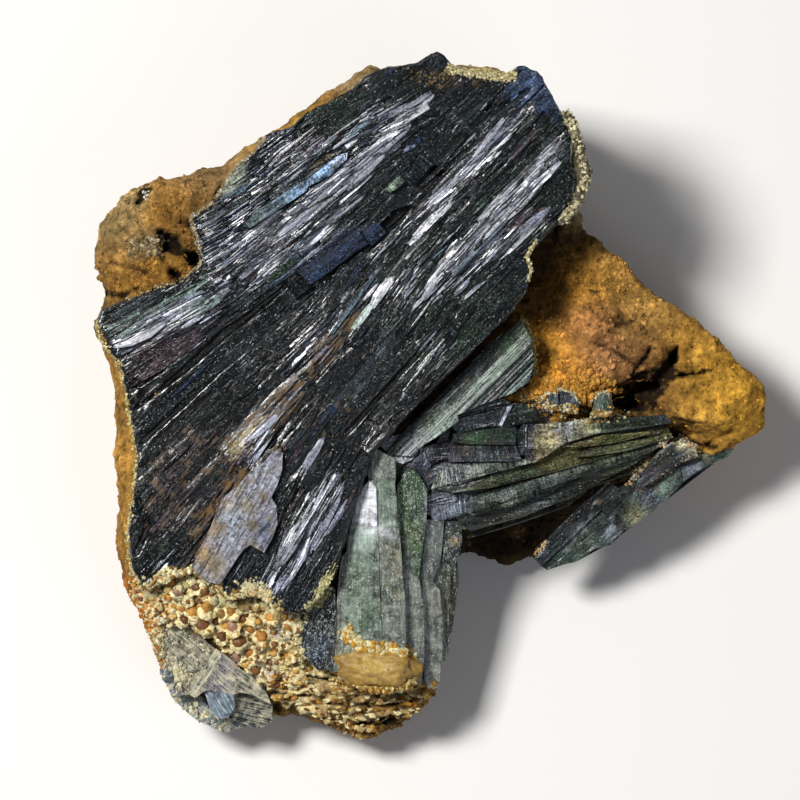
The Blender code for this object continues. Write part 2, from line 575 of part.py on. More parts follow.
def build_slab(parts, beds):
    ridges = new_collection("slab ridges")
    own_beds = []
    for number, ridge in enumerate(SLAB_RIDGES):
        prism(f"ridge_{number}", *ridge, ridges)
        own_beds.append(prism(f"ridge_bed_{number}", *ridge, parts, grow=BED_GAP))
    foot = SLAB_LEVEL - SLAB_THICKNESS
    top_bed = SLAB_LEVEL + BED_GAP
    own_beds.append(outline_solid("slab_bed", grown(SLAB_OUTLINE, BED_GAP), foot - BED_GAP, top_bed, parts))
    body = outline_solid("slab_body", SLAB_OUTLINE, foot, SLAB_LEVEL, parts)
    joined(body, [("UNION", ridges), ("DIFFERENCE", beds)], "grey_slab", "grey blade", parts)
    add_beds(own_beds, parts, beds)


def crust_tip():
    """The crust is set out on the face and then tipped forwards about its hinge."""
    hinge = Matrix.Translation(Vector(CRUST_HINGE) * MM)
    return hinge @ Matrix.Rotation(math.radians(CRUST_SLOPE), 4, "X") @ hinge.inverted()


def build_crust(parts, beds):
    top = CRUST_HINGE[2]
    foot = top - CRUST_THICKNESS
    tip = crust_tip()
    lumps = new_collection("crust beads")
    for number, (x, y, radius) in enumerate(CRUST_BEADS):
        centre = (x, y, top + radius * 0.2)
        ball(f"bead_{number}", centre, (radius,) * 3, lumps, roughness=0.2, detail=1, tip=tip)
    ball("cap", CAP_CENTRE, CAP_RADII, lumps, roughness=0.15)
    body = outline_solid("crust_body", CRUST_OUTLINE, foot, top, parts, tip)
    joined(body, [("UNION", lumps), ("DIFFERENCE", beds)], "bead_crust", "cream crust", parts)
    outline_solid("crust_bed", grown(CRUST_OUTLINE, BED_GAP), foot - BED_GAP, top + BEAD_ROOM, beds, tip)
    ball("cap_bed", CAP_CENTRE, CAP_RADII, beds, roughness=0.15, grow=BED_GAP)


def build_matrix(parts, beds):
    for number, (centre, radii) in enumerate(MATRIX_PITS):
        ball(f"pit_{number}", centre, radii, beds, roughness=0.5, detail=2)
    bm = bmesh.new()
    bmesh.ops.create_cube(bm, size=400)
    ground = add_object("ground", mesh_from(bm, "ground"), beds)
    ground.matrix_world = Matrix.Translation((0, 0, -200 * MM))
    body = build_matrix_body(parts)
    joined(body, [("DIFFERENCE", beds)], "limonite_matrix", "limonite", parts)


def remove_helpers(parts):
    for obj in list(bpy.data.objects):
        if obj.name not in parts.objects and obj != FACE:
            bpy.data.objects.remove(obj)
    for collection in list(bpy.data.collections):
        if collection != parts:
            bpy.data.collections.remove(collection)


clear_scene()
specimen = new_collection("mineral specimen")
crystal_beds = new_collection("crystal beds")
FACE = bpy.data.objects.new("crystal_face", None)
specimen.objects.link(FACE)
FACE.location = (0, 0, FACE_HEIGHT * MM)
FACE.rotation_euler = (math.radians(FACE_LEAN), 0, 0)
bpy.context.view_layer.update()

build_plate(specimen, crystal_beds)
build_step(specimen, crystal_beds)
crystal_group("pale_crystals", PALE_BLADES, "pale crystal", specimen, crystal_beds)
crystal_group("blade_spray", FAN_BLADES, "green blade", specimen, crystal_beds)
build_slab(specimen, crystal_beds)
crystal_group("frosted_crystals", FROSTED_BLADES, "grey blade", specimen, crystal_beds)
crystal_group("vug_crystals", VUG_CRYSTALS, "grey blade", specimen, crystal_beds)
build_crust(specimen, crystal_beds)
build_matrix(specimen, crystal_beds)
remove_helpers(specimen)
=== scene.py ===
"""Surfaces of a raw bladed crystal specimen on limonite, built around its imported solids.

Everything on the specimen is set out in the frame of its crystal face, in millimetres: x to the right, y up
the slope and w straight out of the face, with w = 0 at the mean level of the large blade plate.
"""

import math
import random

import bmesh
import bpy
import numpy as np
from bpy.props import FloatProperty, FloatVectorProperty, IntProperty, PointerProperty
from mathutils import Matrix, Vector, noise
from mathutils.bvhtree import BVHTree


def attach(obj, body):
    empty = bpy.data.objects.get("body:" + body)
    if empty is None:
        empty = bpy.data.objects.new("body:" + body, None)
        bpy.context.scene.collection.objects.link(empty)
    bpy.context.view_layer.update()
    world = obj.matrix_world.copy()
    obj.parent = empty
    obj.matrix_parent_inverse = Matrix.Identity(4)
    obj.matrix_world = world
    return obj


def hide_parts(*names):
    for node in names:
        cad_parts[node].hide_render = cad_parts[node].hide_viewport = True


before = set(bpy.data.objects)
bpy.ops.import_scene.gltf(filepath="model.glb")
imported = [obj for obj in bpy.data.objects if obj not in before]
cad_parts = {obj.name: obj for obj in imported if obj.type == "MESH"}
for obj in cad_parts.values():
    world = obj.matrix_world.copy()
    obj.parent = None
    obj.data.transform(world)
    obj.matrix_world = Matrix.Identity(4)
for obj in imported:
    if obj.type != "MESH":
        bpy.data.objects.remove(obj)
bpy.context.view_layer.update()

bl_info = {
    "name": "Bladed crystal specimen",
    "version": (1, 0, 0),
    "blender": (4, 5, 0),
    "location": "3D View > Sidebar > Specimen",
    "description": "Dresses the solids of a raw crystal specimen with blades, crust and weathered rock",
    "category": "Object",
}

MM = 0.001
FACE_LEAN = 14.0  # degrees that the crystal face slopes down to the front
FACE_HEIGHT = 40.0  # of the face frame's origin over the floor
FACE = Matrix.Translation((0, 0, FACE_HEIGHT * MM)) @ Matrix.Rotation(math.radians(FACE_LEAN), 4, "X")
TO_FACE = Matrix.Scale(1 / MM, 4) @ FACE.inverted()
FROM_FACE = FACE @ Matrix.Scale(MM, 4)

# Borders of the large plate and of the lower step beside it: x and y.
PLATE_OUTLINE = (
    (20, 16), (22, 19), (22.6, 22), (21.6, 25), (25, 28.5), (27.8, 31), (29.6, 34.5), (30.8, 38),
    (29.8, 42), (30, 46.5), (28, 50.5), (26, 54), (24, 57.3), (21, 58.2), (17.5, 56.3), (13, 57.6),
    (9.5, 58), (6.6, 60.8), (3, 58.8), (-2, 58.2), (-5.5, 56.8), (-9, 54), (-13, 51.7), (-16.3, 50),
    (-19, 47.8), (-23.3, 46.3), (-25.5, 43.3), (-29, 40.3), (-31.3, 37), (-33, 34), (-36.8, 32.3),
    (-35.2, 28), (-34.4, 23.6), (-38, 20.6), (-43, 19.2), (-48, 17.4), (-52.3, 15.7), (-53.3, 12.5),
    (-51.5, 9), (-49, 6.5), (-47.8, 1), (-46.8, -5), (-45.8, -10), (-46.6, -17), (-47.6, -23),
    (-46.8, -29.5), (-44.3, -33.2), (-40, -31), (-36.5, -30), (-33, -32.5), (-30, -35), (-25, -34),
    (-21, -37), (-17.5, -37.6), (-14, -34), (-11.2, -30), (-9.6, -25), (-8, -19), (-6.3, -14.5),
    (-4.6, -8.8), (0, -4), (5, 1.2), (10, 6.2), (15, 11),
)
STEP_OUTLINE = (
    (-2.2, -9.6), (2, -9.8), (5, -6.4), (9, -3), (14, -0.8), (19.5, 1.2), (22.6, 3.2), (23.4, 6.5),
    (23, 10.5), (21.3, 14), (15.8, 9.9), (10.8, 4.9), (5.8, -0.1), (0.8, -5.3),
)

# Directions of the plate's blades: x, y and degrees from the x axis.
GRAIN = (
    (-45, 14, 28), (-40, 25, 28), (-40, 0, 41), (-38, -20, 48), (-22, -20, 61), (-12, -25, 62),
    (-2, 50, 30), (-10, 38, 39), (12, 42, 46), (24, 42, 44), (0, 5, 50), (-5, 17, 54), (14, 24, 46),
    (-22, 20, 38),
)
GRAIN_REACH = 4.0  # softens the weight of the nearest direction

# Tints of the crystals, as sRGB. Silver, lilac and white also serve as painted glints on the blades.
TINTS = {
    "ink": "#090e10", "graphite": "#182024", "navy": "#0f1a2c", "blue": "#5e7690", "slate blue": "#43545f",
    "silver": "#7f838f", "lilac": "#646775", "white": "#c9cad2", "green black": "#131d17", "olive": "#34371f",
    "plum": "#2d2429", "tan": "#766a4e", "slate": "#4a514e", "glass": "#69796b", "leaf": "#213e1c",
    "cream": "#a89d72", "umber": "#45402c", "pale green": "#8a9b93", "teal grey": "#46534f", "ash": "#686d64",
    "storm": "#2b353c", "sage": "#556256", "aubergine": "#24232b", "mauve": "#85808e", "lichen": "#6d6c50",
    "bottle": "#1c2a24", "sky": "#77848f", "clay": "#c9c198",
    "grey lilac": "#7c7d88", "dusk blue": "#33435f", "ochre": "#8a6a30", "moss": "#3a4a22", "bark": "#3a2f22",
}
# Where cleavages lie open: blades lie denser and more tipped there, and a painted silvery glint is laid over
# them. Centre, half length, half width, degrees, strength.
OPEN_AND_GLINT_ZONES = (
    ((-9, 39.5), (19, 2.6), 39, 0.9), ((-1.5, 50.5), (10, 3.4), 25, 0.8), ((-19, 42), (8, 2.8), 30, 0.6),
    ((-22, 45.5), (5, 2.4), 35, 0.6), ((-29, 28), (9, 8), 30, 0.6), ((-18, 28), (11, 2.6), 38, 0.6),
    ((13, 41.5), (14, 2.1), 47, 0.85), ((21, 37), (14, 2.6), 45, 0.8), ((12, 25), (13, 2.6), 44, 0.8),
    ((22, 29.5), (9, 1.8), 40, 0.6), ((4, 23), (9, 4), 46, 0.4), ((-41, 13.5), (11, 3), 27, 0.6),
    ((-14, 14), (9, 3), 50, 0.35), ((-24, -5), (8, 3), 48, 0.5), ((-16, -22), (13, 3.0), 62, 0.55),
    ((7, 8), (6, 1.6), 50, 0.3), ((-3, -1), (8, 3), 50, -1.2), ((-12, 3), (7, 2.4), 50, -1.0),
    ((-30, 17), (6, 2), 38, 0.5), ((2, 31), (10, 2), 45, 0.4), ((5, 46), (9, 5.4), 42, -1.0),
    ((-31, 5), (19, 6.5), 41, -1.0), ((0, 35), (8, 3.6), 45, -1.0), ((-12, 50.4), (8, 2.4), 33, -0.8),
    ((27, 35), (6, 3.6), 45, -0.8), ((17, 17), (11, 5), 45, -0.9), ((-14, 24.5), (9, 2.8), 36, -1.0),
    ((-37, -13), (13, 9), 48, -0.8), ((-6, 1), (13, 7.5), 52, -0.9), ((-23, 11), (10, 4.5), 45, -0.8),
    ((9, 56), (15, 4.6), 12, -1.0), ((25, 54), (6, 3), -62, -1.0), ((-12, -10), (8, 3), 55, -0.5),
)
# Where rusty dust lies on the blades: centre, half length, half width, degrees, strength.
DUST_ZONES = (
    ((-36, -14), (13, 10), 48, 0.5), ((-13.5, 8), (5, 2.6), 55, 0.9), ((-8.8, 14), (3.4, 1.2), 55, 1.0),
    ((-25, -12), (12, 6), 55, 0.35), ((-12, -4), (8, 4), 52, 0.35), ((-44, 2), (8, 5), 40, 0.2),
    ((9, 56), (12, 3.4), 12, 0.3), ((2, 34), (5, 4), 45, 0.1), ((-30, 36), (5, 3), 30, 0.3),
    ((-22, -2.5), (7, 2.6), 35, 1.0), ((-33, -22), (12, 2.6), 60, 0.7),
)
# Where tints gather on the plate: centre, half length, half width, degrees, tint, share of the blades there.
TINT_ZONES = (
    ((-42, 8), (8, 3), 38, "plum", 0.6), ((-14, 25), (10, 2.8), 37, "navy", 0.9),
    ((3, 36), (9, 5), 50, "ink", 0.9), ((-29.5, 38.5), (4, 2), 50, "ash", 0.8),
    ((24.6, 54), (7.5, 2.8), -62, "dusk blue", 0.65), ((21, 54), (4, 2.4), 20, "dusk blue", 0.5),
    ((-43.5, 14), (9, 2.4), 26, "teal grey", 0.8), ((-25, 33), (12, 5), 35, "navy", 0.4),
    ((-16, -24), (10, 4), 62, "lilac", 0.25), ((-18.5, 24.5), (6, 2.5), 36, "slate blue", 0.5),
    ((-30, 8), (18, 5), 42, "ink", 0.9), ((5, 47), (8, 5), 42, "ink", 0.5),
    ((-34, -14), (12, 9), 48, "plum", 0.3), ((10, 13), (14, 6), 47, "green black", 0.6),
    ((22, 36), (12, 8), 45, "green black", 0.4), ((-12, 50), (8, 3), 33, "green black", 0.8),
    ((0, 22), (12, 6), 47, "green black", 0.3),
)
COMMON_TINTS = (("ink", 58), ("graphite", 20), ("green black", 14), ("navy", 6), ("plum", 3))
# Tints of loose blades where cleavages lie open: mostly painted glints of silver, lilac and white, with some
# slate blue.
OPEN_GLINT_TINTS = (("silver", 5), ("lilac", 4), ("white", 3), ("slate blue", 2))

# Blades that stand out one by one, their white and silver tints painted glints, which their roll also turns
# towards the key light: foot, tip, width, lift over the solid, roll, strips, tint, openness.
FEATURES = (
    ((-50.8, 9.0), (-40, 14.2), 2.7, 0.5, -12, 8, "white", 1.2),
    ((-43, 12.2), (-30, 18.5), 2.2, 0.3, -5, 7, "teal grey", 0.6),
    ((-33.6, 17.2), (-29.4, 19.9), 1.1, 0.4, -9, 4, "silver", 1.0),
    ((-38.6, 12.2), (-33.6, 15.4), 0.9, 0.4, -9, 4, "silver", 0.9),
    ((-47.4, 3.8), (-34, 13.4), 4.4, 0.1, 3, 9, "plum", 0.0),
    ((-46, -1.5), (-27, 14.5), 4.0, 0.0, 3, 7, "ink", -0.4),
    ((-44.5, -6.5), (-24, 13), 4.4, 0.1, 2, 7, "ink", -0.4),
    ((-26.4, 34.9), (-8, 45.4), 1.1, 0.4, -3, 5, "umber", 0.4),
    ((-22.2, 40.8), (-16.4, 43.7), 1.1, 0.5, -9, 4, "white", 0.9),
    ((-14, 44.2), (-10.6, 46.6), 0.8, 0.5, -9, 3, "silver", 0.9),
    ((-22.4, 28.0), (-12, 36.4), 1.3, 0.5, -9, 6, "silver", 1.1),
    ((-18, 29.8), (-4, 42.4), 0.9, 0.6, -10, 5, "silver", 1.0),
    ((-10, 37.4), (2, 48.0), 0.9, 0.6, -10, 5, "grey lilac", 1.0),
    ((-14, 35), (-1, 46.8), 0.6, 0.6, -11, 3, "silver", 0.9),
    ((-18.5, 22.8), (-13.5, 27.4), 0.7, 0.5, -10, 3, "grey lilac", 1.0),
    ((-8.6, 11.8), (-4.4, 17.4), 1.3, 0.5, -8, 5, "pale green", 0.8),
    ((-5.6, 15.8), (-1.0, 22.1), 1.7, 0.6, -10, 5, "white", 0.9),
    ((-6.6, 17.2), (-3.6, 20.6), 0.6, 0.7, -10, 2, "white", 0.9),
    ((-30.5, -11), (-22, -2.5), 3.2, 0.4, -4, 7, "tan", 0.5),
    ((-27.5, -8), (-20.5, -2), 1.3, 0.6, -9, 5, "silver", 1.0),
    ((-30.4, -28), (-26.6, -20.8), 0.6, 1.2, -9, 3, "silver", 1.0),
    ((-18, -14), (-13.2, -5.8), 1.7, 0.5, -8, 6, "lilac", 0.9),
    ((-21.5, -29.5), (-11, -12.5), 0.7, 0.6, -10, 3, "silver", 0.9),
    ((-24, -33), (-15.5, -19), 0.9, 0.5, -9, 4, "lilac", 0.9),
    ((11, 40.6), (19.4, 50.5), 1.1, 0.5, -9, 5, "silver", 1.0),
    ((8, 36.5), (14.5, 43.2), 0.9, 0.5, -9, 4, "lilac", 0.9),
    ((12.2, 24.8), (20.1, 32.2), 1.5, 0.5, -9, 6, "silver", 1.0),
    ((15.4, 25.2), (27.4, 34.8), 1.1, 0.4, -8, 5, "lilac", 0.8),
    ((12.9, 30), (28.4, 45.4), 0.9, 0.5, -9, 4, "silver", 0.9),
    ((16, 33.8), (26, 43), 0.7, 0.6, -10, 3, "grey lilac", 1.0),
    ((9.4, 18.2), (12.4, 21.3), 1.0, 0.5, -9, 4, "silver", 0.9),
    ((10.8, 17.4), (15.2, 21.2), 0.6, 0.5, -9, 2, "silver", 0.9),
)

# The crystals of this and the later tables are cut to an outline: outline, direction, level at the middle,
# pitch, roll, depth, strips, tint, openness and, where they are ribbed, how much.
PLATE_CRYSTALS = (
    (((-26.9, 30.7), (-25.3, 33.1), (-22.4, 34.4), (-19.2, 36.8), (-16.5, 38.4), (-16.2, 37.2),
     (-16.5, 36.6), (-21.3, 33.9), (-24, 31.5), (-26.1, 30.1)), 35, 0.6, 0, 1, 1.4, 6, "slate blue", 0.0,
     0.3),
    (((-16.4, 38.3), (-10.8, 42.7), (-9.2, 43.2), (-9.4, 42.2), (-12.2, 39.3), (-16.1, 37.4)), 38, 0.7, 0,
     1, 1.4, 4, "blue", 0.1, 0.55),
    (((-18.6, 22.9), (-15.1, 25.8), (-10.8, 28.5), (-7.4, 29.8), (-5.8, 27.4), (-9.2, 24.8), (-13, 22.4),
     (-16.0, 20.0)), 37, -0.9, 0, 6, 1.6, 6, "navy", -1.0),
    (((-6.6, 29.6), (-4.2, 31.2), (-2.4, 29.4), (-4.9, 27.0)), 40, -0.4, 0, 8, 1.6, 3, "navy", -1.0),
    (((-20.6, 20.8), (-18.3, 22.6), (-15.6, 19.9), (-18.1, 17.9)), 38, -0.3, 0, 3, 1.6, 3, "ink", 0.0, 1.0),
    (((-2.6, 37.0), (-0.2, 39.2), (0.8, 38.2), (-1.2, 36.2)), 48, -0.1, 0, 2, 1.4, 3, "sage", 0.2, 1.0),
    (((0.2, 39.6), (3.6, 43.0), (6.0, 41.2), (2.4, 37.8)), 48, 0.0, 0, 2, 1.5, 4, "graphite", 0.1, 1.0),
)
# The plate's dull face: x and y of its outline.
TARNISHED_FACE = (
    (-31.1, -17.3), (-28.5, -15.2), (-26.5, -13), (-23.7, -10.9), (-21.9, -8.8), (-20.6, -9.3),
    (-20.7, -12.1), (-21.6, -14.9), (-22.8, -16.7), (-21.7, -18.6), (-21.6, -21.8), (-22.6, -24.6),
    (-23.8, -26.6), (-26.2, -25.2), (-28.2, -26.6), (-29.8, -29.6), (-31.6, -32.2), (-34.2, -31.6),
    (-36.4, -29.2), (-34.9, -26), (-33, -22.2), (-32, -19.5),
)
# Colours that gather in places on the cut crystals, stains and a painted highlight: x, y, reach, tint and
# strength.
STAINS_AND_HIGHLIGHTS = (
    # crystals set into the plate
    (-25, 31.5, 2.2, "teal grey", 0.8), (-21, 34.2, 1.8, "storm", 0.4), (-18, 36.8, 2.0, "blue", 0.8),
    (-10.6, 41.8, 1.8, "grey lilac", 0.7),
    # tarnished face
    (-34.6, -27, 2.0, "ochre", 0.9), (-32.6, -22.6, 1.6, "ochre", 0.8), (-30.6, -18.6, 1.4, "ochre", 0.7),
    (-28.6, -15.6, 1.2, "tan", 0.7), (-25, -12.6, 2.0, "silver", 0.8), (-29.4, -20.6, 2.2, "sky", 0.7),
    (-30.6, -24.4, 1.6, "sky", 0.5), (-26.6, -18.6, 1.4, "tan", 0.8), (-32.4, -29.4, 2.0, "tan", 0.8),
    (-23.6, -22.5, 1.9, "dusk blue", 0.9), (-22.8, -25, 1.4, "dusk blue", 0.6),
    (-30.5, -32, 2.4, "umber", 0.6), (-24, -17.5, 1.2, "bark", 0.6), (-25.4, -22.4, 1.6, "bark", 0.6),
    # pale crystals; the white at (-7, -20) is a painted highlight
    (-3.3, -9.6, 2.2, "ash", 0.5), (-6.6, -26.5, 2.6, "pale green", 0.35), (-7, -31, 3.0, "moss", 0.35),
    (-5.4, -38, 2.6, "leaf", 0.5), (-2.4, -33.5, 2.2, "moss", 0.6), (-1.6, -27, 2.2, "umber", 0.5),
    (2.2, -24.5, 2.6, "moss", 0.7), (1.6, -17, 2.4, "leaf", 0.5), (-2, -43, 3.4, "ash", 0.8),
    (3, -43, 3.6, "ash", 0.5), (9.6, -24.8, 0.7, "ochre", 0.9), (8, -36, 2.4, "umber", 0.6),
    (-14.6, -43.5, 2.2, "dusk blue", 0.5), (-7, -20, 2.2, "white", 0.9), (-8.6, -44, 2.4, "cream", 0.4),
    (-5.6, -22.7, 0.8, "white", 0.8), (-4.4, -22.9, 0.8, "white", 0.9), (-3.2, -23.0, 0.8, "white", 0.9),
    (-2.0, -23.2, 0.8, "white", 0.9), (-1.0, -23.4, 0.7, "white", 0.8),
    (-8.4, -23.4, 1.2, "pale green", 0.8), (-6.8, -24.6, 1.4, "pale green", 0.6),
    (-0.9, -27, 0.6, "cream", 0.6), (-0.5, -30, 0.6, "cream", 0.6), (-0.2, -34, 0.6, "cream", 0.6),
    (2.2, -23.4, 1.6, "moss", 0.9), (1.8, -28.6, 1.6, "sage", 0.8), (-4, -12.6, 2.2, "teal grey", 0.6),
    # spray
    (26.2, -6.6, 2.2, "cream", 0.9), (24.8, -10, 1.4, "ochre", 0.5), (29.4, -5, 1.6, "grey lilac", 0.5),
    (32.8, -4.6, 1.8, "cream", 0.5), (11.4, -8.8, 1.6, "umber", 0.4), (17, -9, 1.6, "green black", 0.6),
    (9.6, -13, 2.6, "grey lilac", 0.6), (16, -11.6, 2.6, "teal grey", 0.6),
    (22, -13, 4.2, "green black", 0.5), (38, -6.6, 5.0, "moss", 0.5), (30, -9, 3.4, "umber", 0.5),
    (6.2, -19, 2.4, "grey lilac", 0.5), (9.6, -18.4, 1.6, "sky", 0.6), (24, -17, 4.2, "teal grey", 0.4),
    (12.6, -18.6, 2.4, "teal grey", 0.4), (34, -12.6, 4.4, "olive", 0.5), (18, -20.4, 4.0, "umber", 0.4),
    (43.6, -8, 4.0, "olive", 0.6), (13.4, -6.6, 1.8, "leaf", 0.35),
    # slab
    (33, -24.4, 2.4, "sage", 0.4), (37.5, -23.6, 1.8, "lilac", 0.5), (41.8, -20.5, 1.8, "lichen", 0.9),
    (43.6, -17.2, 1.6, "lilac", 0.8), (47.2, -15.6, 2.2, "teal grey", 0.8),
    (51.8, -11.8, 1.8, "lilac", 0.6), (38.7, -18, 1.8, "green black", 0.8), (26, -28, 1.4, "storm", 0.5),
    (44.4, -12.6, 1.8, "plum", 0.7), (55, -10, 2.4, "bottle", 0.6), (52.4, -9.0, 1.2, "clay", 0.8),
    (49.8, -7.4, 1.0, "clay", 0.7), (32.2, -22.6, 0.6, "silver", 0.7), (30.6, -24.4, 0.6, "silver", 0.7),
    (34.2, -20.6, 0.6, "silver", 0.6), (29.2, -26.2, 0.5, "silver", 0.6),
    # side blades
    (20, 9, 4.0, "leaf", 0.3), (10, 0.6, 4.0, "teal grey", 0.3), (2.6, -8.4, 2.6, "grey lilac", 0.5),
)
# Crystals side by side on the lower step: shares of its width from and to, level, pitch, roll, strips, tint
# and openness.
STEP_BANDS = (
    (0.00, 0.24, -6.9, -1, 6, 12, "teal grey", 0.35), (0.22, 0.46, -6.4, -1, -8, 12, "green black", 0.55),
    (0.44, 0.70, -6.1, -1, -12, 13, "sage", 0.7), (0.68, 1.0, -6.5, -1, -5, 12, "green black", 0.45),
)
PALE_CRYSTALS = (
    (((-5.6, -11.3), (-5, -8.3), (-3.6, -8.9), (-1.05, -10.4), (-0.75, -11.9), (-1.0, -14.4),
     (-5.4, -14.4)), 92, -3.7, 4, -4, 5, 5, "ash", 0.5),
    # This crystal's white tint is a painted highlight; it is also rolled towards the key light.
    (((-6.9, -16.1), (-5.4, -14.2), (-4.3, -15.3), (-4.1, -22.1), (-8.5, -22.1)), 86, -3.8, 5, -13, 6, 6,
     "white", 0.3),
    (((-5.3, -14.2), (-1.05, -14.2), (-0.6, -17.9), (-0.4, -22.7), (-4.3, -22.1), (-4.5, -15.3)), 92, -4.0,
     5, 2, 6, 6, "glass", 0.35),
    (((-8.5, -22.0), (-4.1, -22.0), (-4.9, -24.5), (-4.9, -29.3), (-3.1, -35.4), (-3.3, -47), (-10, -47),
     (-9.2, -36.9), (-9.1, -29.3), (-9.3, -25.1)), 88, -5.2, 5, -4, 6, 9, "glass", 0.2),
    (((-4.3, -22.0), (-0.3, -22.6), (0.1, -26.3), (0.4, -31.8), (0.9, -35.7), (1, -48), (-3.5, -48),
     (-3.3, -35.4), (-5.1, -29.3), (-5.1, -24.5)), 91, -5.3, 5, 1, 6, 8, "ash", 0.25),
    (((-10.2, -27.5), (-9.0, -26.3), (-9.2, -32.4), (-9.0, -47.5), (-12.2, -47.8), (-11.1, -37),
     (-10.7, -32.1)), 88, -6.0, 6, -8, 5, 4, "ash", 0.3),
    (((1.4, -12.0), (2.9, -12.8), (4.1, -14.6), (4.7, -16.1), (4.6, -21.2), (3.8, -26.3), (3.2, -31.5),
     (0.5, -29.3), (0.2, -26.3), (-0.3, -22.1), (-0.6, -17.3), (-0.4, -15.2), (0.5, -13.4)), 90, -6.6, 6, 5,
     6, 8, "leaf", 0.15),
    (((0.5, -29.2), (3.3, -31.5), (3.9, -32.4), (4.2, -40.8), (4.2, -50), (0.4, -50), (0.8, -40.8),
     (0.9, -35.7)), 91, -8.0, 6, 3, 6, 6, "ash", 0.25),
    (((4.6, -21.1), (7.7, -21.1), (7.5, -23.9), (7.1, -28.1), (5.6, -31.8), (3.2, -32.1), (3.8, -26.9)), 85,
     -9.0, 5, 8, 6, 6, "slate", 0.3),
    (((3.3, -31.9), (5.7, -31.6), (6.9, -33.6), (7.5, -38.4), (7.5, -43.8), (6.8, -50.4), (5.3, -51.4),
     (4.1, -48.6), (4.1, -40.8)), 92, -10.4, 6, 6, 6, 6, "ash", 0.3),
    (((7.6, -21.3), (10.9, -21.4), (10.9, -24.5), (10.5, -26.9), (9.6, -28.9), (7.4, -28.3)), 90, -10.0, 4,
     9, 5, 5, "green black", 0.3),
    (((7.2, -28.4), (9.0, -28.8), (8.7, -33.9), (8.5, -39.9), (7.8, -46), (7.4, -46), (7.5, -38.4),
     (6.9, -33.6), (5.7, -31.8)), 90, -11.6, 5, 16, 5, 4, "olive", 0.2),
    (((8.8, -28.8), (10.2, -29.1), (10.3, -32.4), (9.9, -34.2), (9.1, -40.8), (8.4, -45), (8.2, -40)), 90,
     -12.6, 5, 30, 5, 3, "green black", 0.1),
    (((-11.5, -33.2), (-11.3, -39.2), (-12.0, -47.4), (-14.3, -47.4), (-16.9, -44.9), (-17.9, -41.9),
     (-16.4, -37.3), (-14.1, -33.9), (-12.6, -32.6)), 75, -6.2, 7, -3, 5, 8, "ink", 0.1),
)
